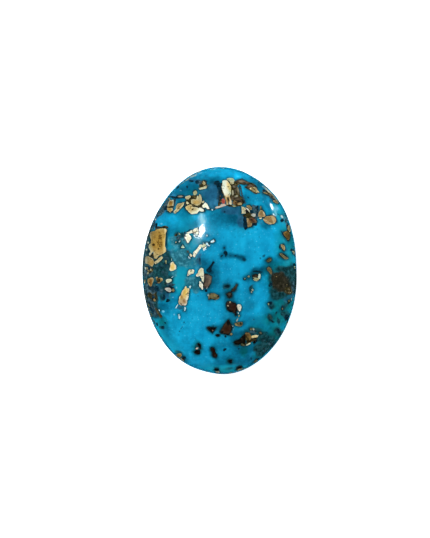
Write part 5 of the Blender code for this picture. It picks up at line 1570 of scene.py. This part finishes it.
# The studio: a white table lit from below, lamps that stand where their reflections show on
# the dome as in the photo, and soft cards that light the metal alone.

studio = {
    "tableSize": 4.0,
    "tableGlow": 0.9,
    "tableRoughness": 0.9,
    "tableClouds": 3.0,
    "lensMm": 180,
    "sensorMm": 36,
    "imageSize": (430, 538),
    "pixelsPerMm": 10.4,  # the photo's scale at the widest part of the stone
    "stoneAtPixel": (219.5, 270.5),
    # where each reflection shows in mm, then the lamp's distance and size in m, its power and the rest
    "windows": {
        "keyLamp": ((-1.75, 3.76), 0.6, (0.056, 0.043), 0.54, {}),
        "keyGlow": ((-1.75, 3.76), 0.6, (0.2, 0.2), 2.6, {"glossy": False}),
        "keyTrail": ((-1.65, 4.9), 0.6, (0.03, 0.085), 0.05, {"tint": "#f4ffc8"}),
        "keyTrailSoft": ((-1.65, 4.9), 0.6, (0.065, 0.1), 0.045, {"tint": "#f4ffc8"}),
        "sideLamp": ((5.0, 6.1), 0.5, (0.035, 0.08), 0.22, {"roll": 14}),
        "sideGlint": ((5.2, 5.3), 0.5, (0.03, 0.03), 0.05, {}),
        "sideTrail": ((5.35, 5.6), 0.5, (0.035, 0.12), 0.03, {"tint": "#dbffeb", "roll": 20}),
    },
    # soft light that the polish doesn't show: turns round the stone and rise in degrees, distance
    # and size in m, and power
    "wallGlow": (range(0, 360, 60), 5.7106, 0.7, (0.5, 0.12), 1.8),
    "overheadFill": ([0], 90, 0.7, (0.9, 0.9), 0.9),
    # the broken faces of the metal catch these, and the polished stone would hardly show them
    "topCard": ([0], 90, 0.6, (1.2, 1.2), 2.8),
    "metalCard": (range(0, 360, 60), 14, 0.8, (0.8, 0.8), 2.6),
    "room": "#f4f4f4",
}


def makeTable():
    mesh = bmesh.new()
    bmesh.ops.create_grid(mesh, x_segments=1, y_segments=1, size=studio["tableSize"] / 2)
    data = bpy.data.meshes.new("whiteTable")
    mesh.to_mesh(data)
    mesh.free()
    # opal acrylic lit from below, so that the stone throws no shadow
    material, tree, shader = newMaterial("opalAcrylic")
    place = add(tree, "TexCoord").outputs["Object"]
    clouding = {"Vector": place, "Scale": studio["tableClouds"], "Detail": 2}
    cloudy = add(tree, "TexNoise", {}, clouding).outputs["Fac"]
    tint = ramp(tree, cloudy, [(0.3, "#fafafa"), (0.7, "#ffffff")])
    tree.links.new(tint, shader.inputs["Base Color"])
    tree.links.new(tint, shader.inputs["Emission Color"])
    shader.inputs["Emission Strength"].default_value = studio["tableGlow"]
    shader.inputs["Roughness"].default_value = studio["tableRoughness"]
    data.materials.append(material)
    table = bpy.data.objects.new("whiteTable", data)
    bpy.context.scene.collection.objects.link(table)
    table.visible_glossy = False  # a bright line round the stone's edge otherwise


def makeCamera():
    data = bpy.data.cameras.new("camera")
    data.lens = studio["lensMm"]
    data.sensor_width = studio["sensorMm"]
    camera = bpy.data.objects.new("camera", data)
    wide, high = studio["imageSize"]
    # the distance that gives the photo's scale at the widest part of the stone
    distance = max(wide, high) / studio["sensorMm"] * studio["lensMm"] / studio["pixelsPerMm"]
    offX = (studio["stoneAtPixel"][0] - wide / 2) / studio["pixelsPerMm"]
    offY = (high / 2 - studio["stoneAtPixel"][1]) / studio["pixelsPerMm"]
    camera.location = Vector((-offX, -offY, stone["girdle"] + distance)) * mm
    data.clip_start, data.clip_end = 0.01, 10
    bpy.context.scene.collection.objects.link(camera)
    bpy.context.scene.camera = camera
    return camera


def mirrored(camera, x, y):
    # where something must stand for its reflection to show at this point of the dome
    point, out = lifted(onDome, x, y, 0.0)
    seenFrom = (camera.location / mm - point).normalized()
    return point * mm, (2 * out.dot(seenFrom) * out - seenFrom).normalized()


def makeLamp(name, target, direction, distance, size, power, tint="#ffffff", glossy=True, roll=0):
    data = bpy.data.lights.new(name, "AREA")
    data.shape = "RECTANGLE"
    data.size, data.size_y = size
    data.energy = power
    data.color = colour(tint)[:3]
    lamp = bpy.data.objects.new(name, data)
    lamp.location = target + direction * distance
    turned = Quaternion((0, 0, 1), math.radians(roll))
    lamp.rotation_euler = ((-direction).to_track_quat("-Z", "Y") @ turned).to_euler()
    lamp.visible_glossy = glossy
    lamp.visible_camera = False
    bpy.context.scene.collection.objects.link(lamp)
    return lamp


def makeSoftLamps(name, glossy):
    turns, rise, distance, size, power = studio[name]
    level, up = math.cos(math.radians(rise)), math.sin(math.radians(rise))
    made = []
    for turn in turns:
        around = math.radians(turn)
        towards = Vector((math.cos(around) * level, math.sin(around) * level, up))
        made.append(makeLamp(name, Vector((0, 0, 0)), towards, distance, size, power, glossy=glossy))
    return made


makeTable()
camera = makeCamera()
for name, (spot, distance, size, power, rest) in studio["windows"].items():
    target, direction = mirrored(camera, *spot)
    makeLamp(name, target, direction, distance, size, power, **rest)
makeSoftLamps("wallGlow", False)
makeSoftLamps("overheadFill", False)
metal = bpy.data.collections.new("metal")
metal.objects.link(grains)
for card in makeSoftLamps("topCard", True) + makeSoftLamps("metalCard", True):
    card.light_linking.receiver_collection = metal

world = bpy.data.worlds.new("paleRoom")
bpy.context.scene.world = world
world.use_nodes = True
world.node_tree.nodes["Background"].inputs["Color"].default_value = colour(studio["room"])
world.cycles_visibility.glossy = False
world.cycles_visibility.diffuse = False
bpy.context.scene.view_settings.view_transform = "Standard"
print("studio set")
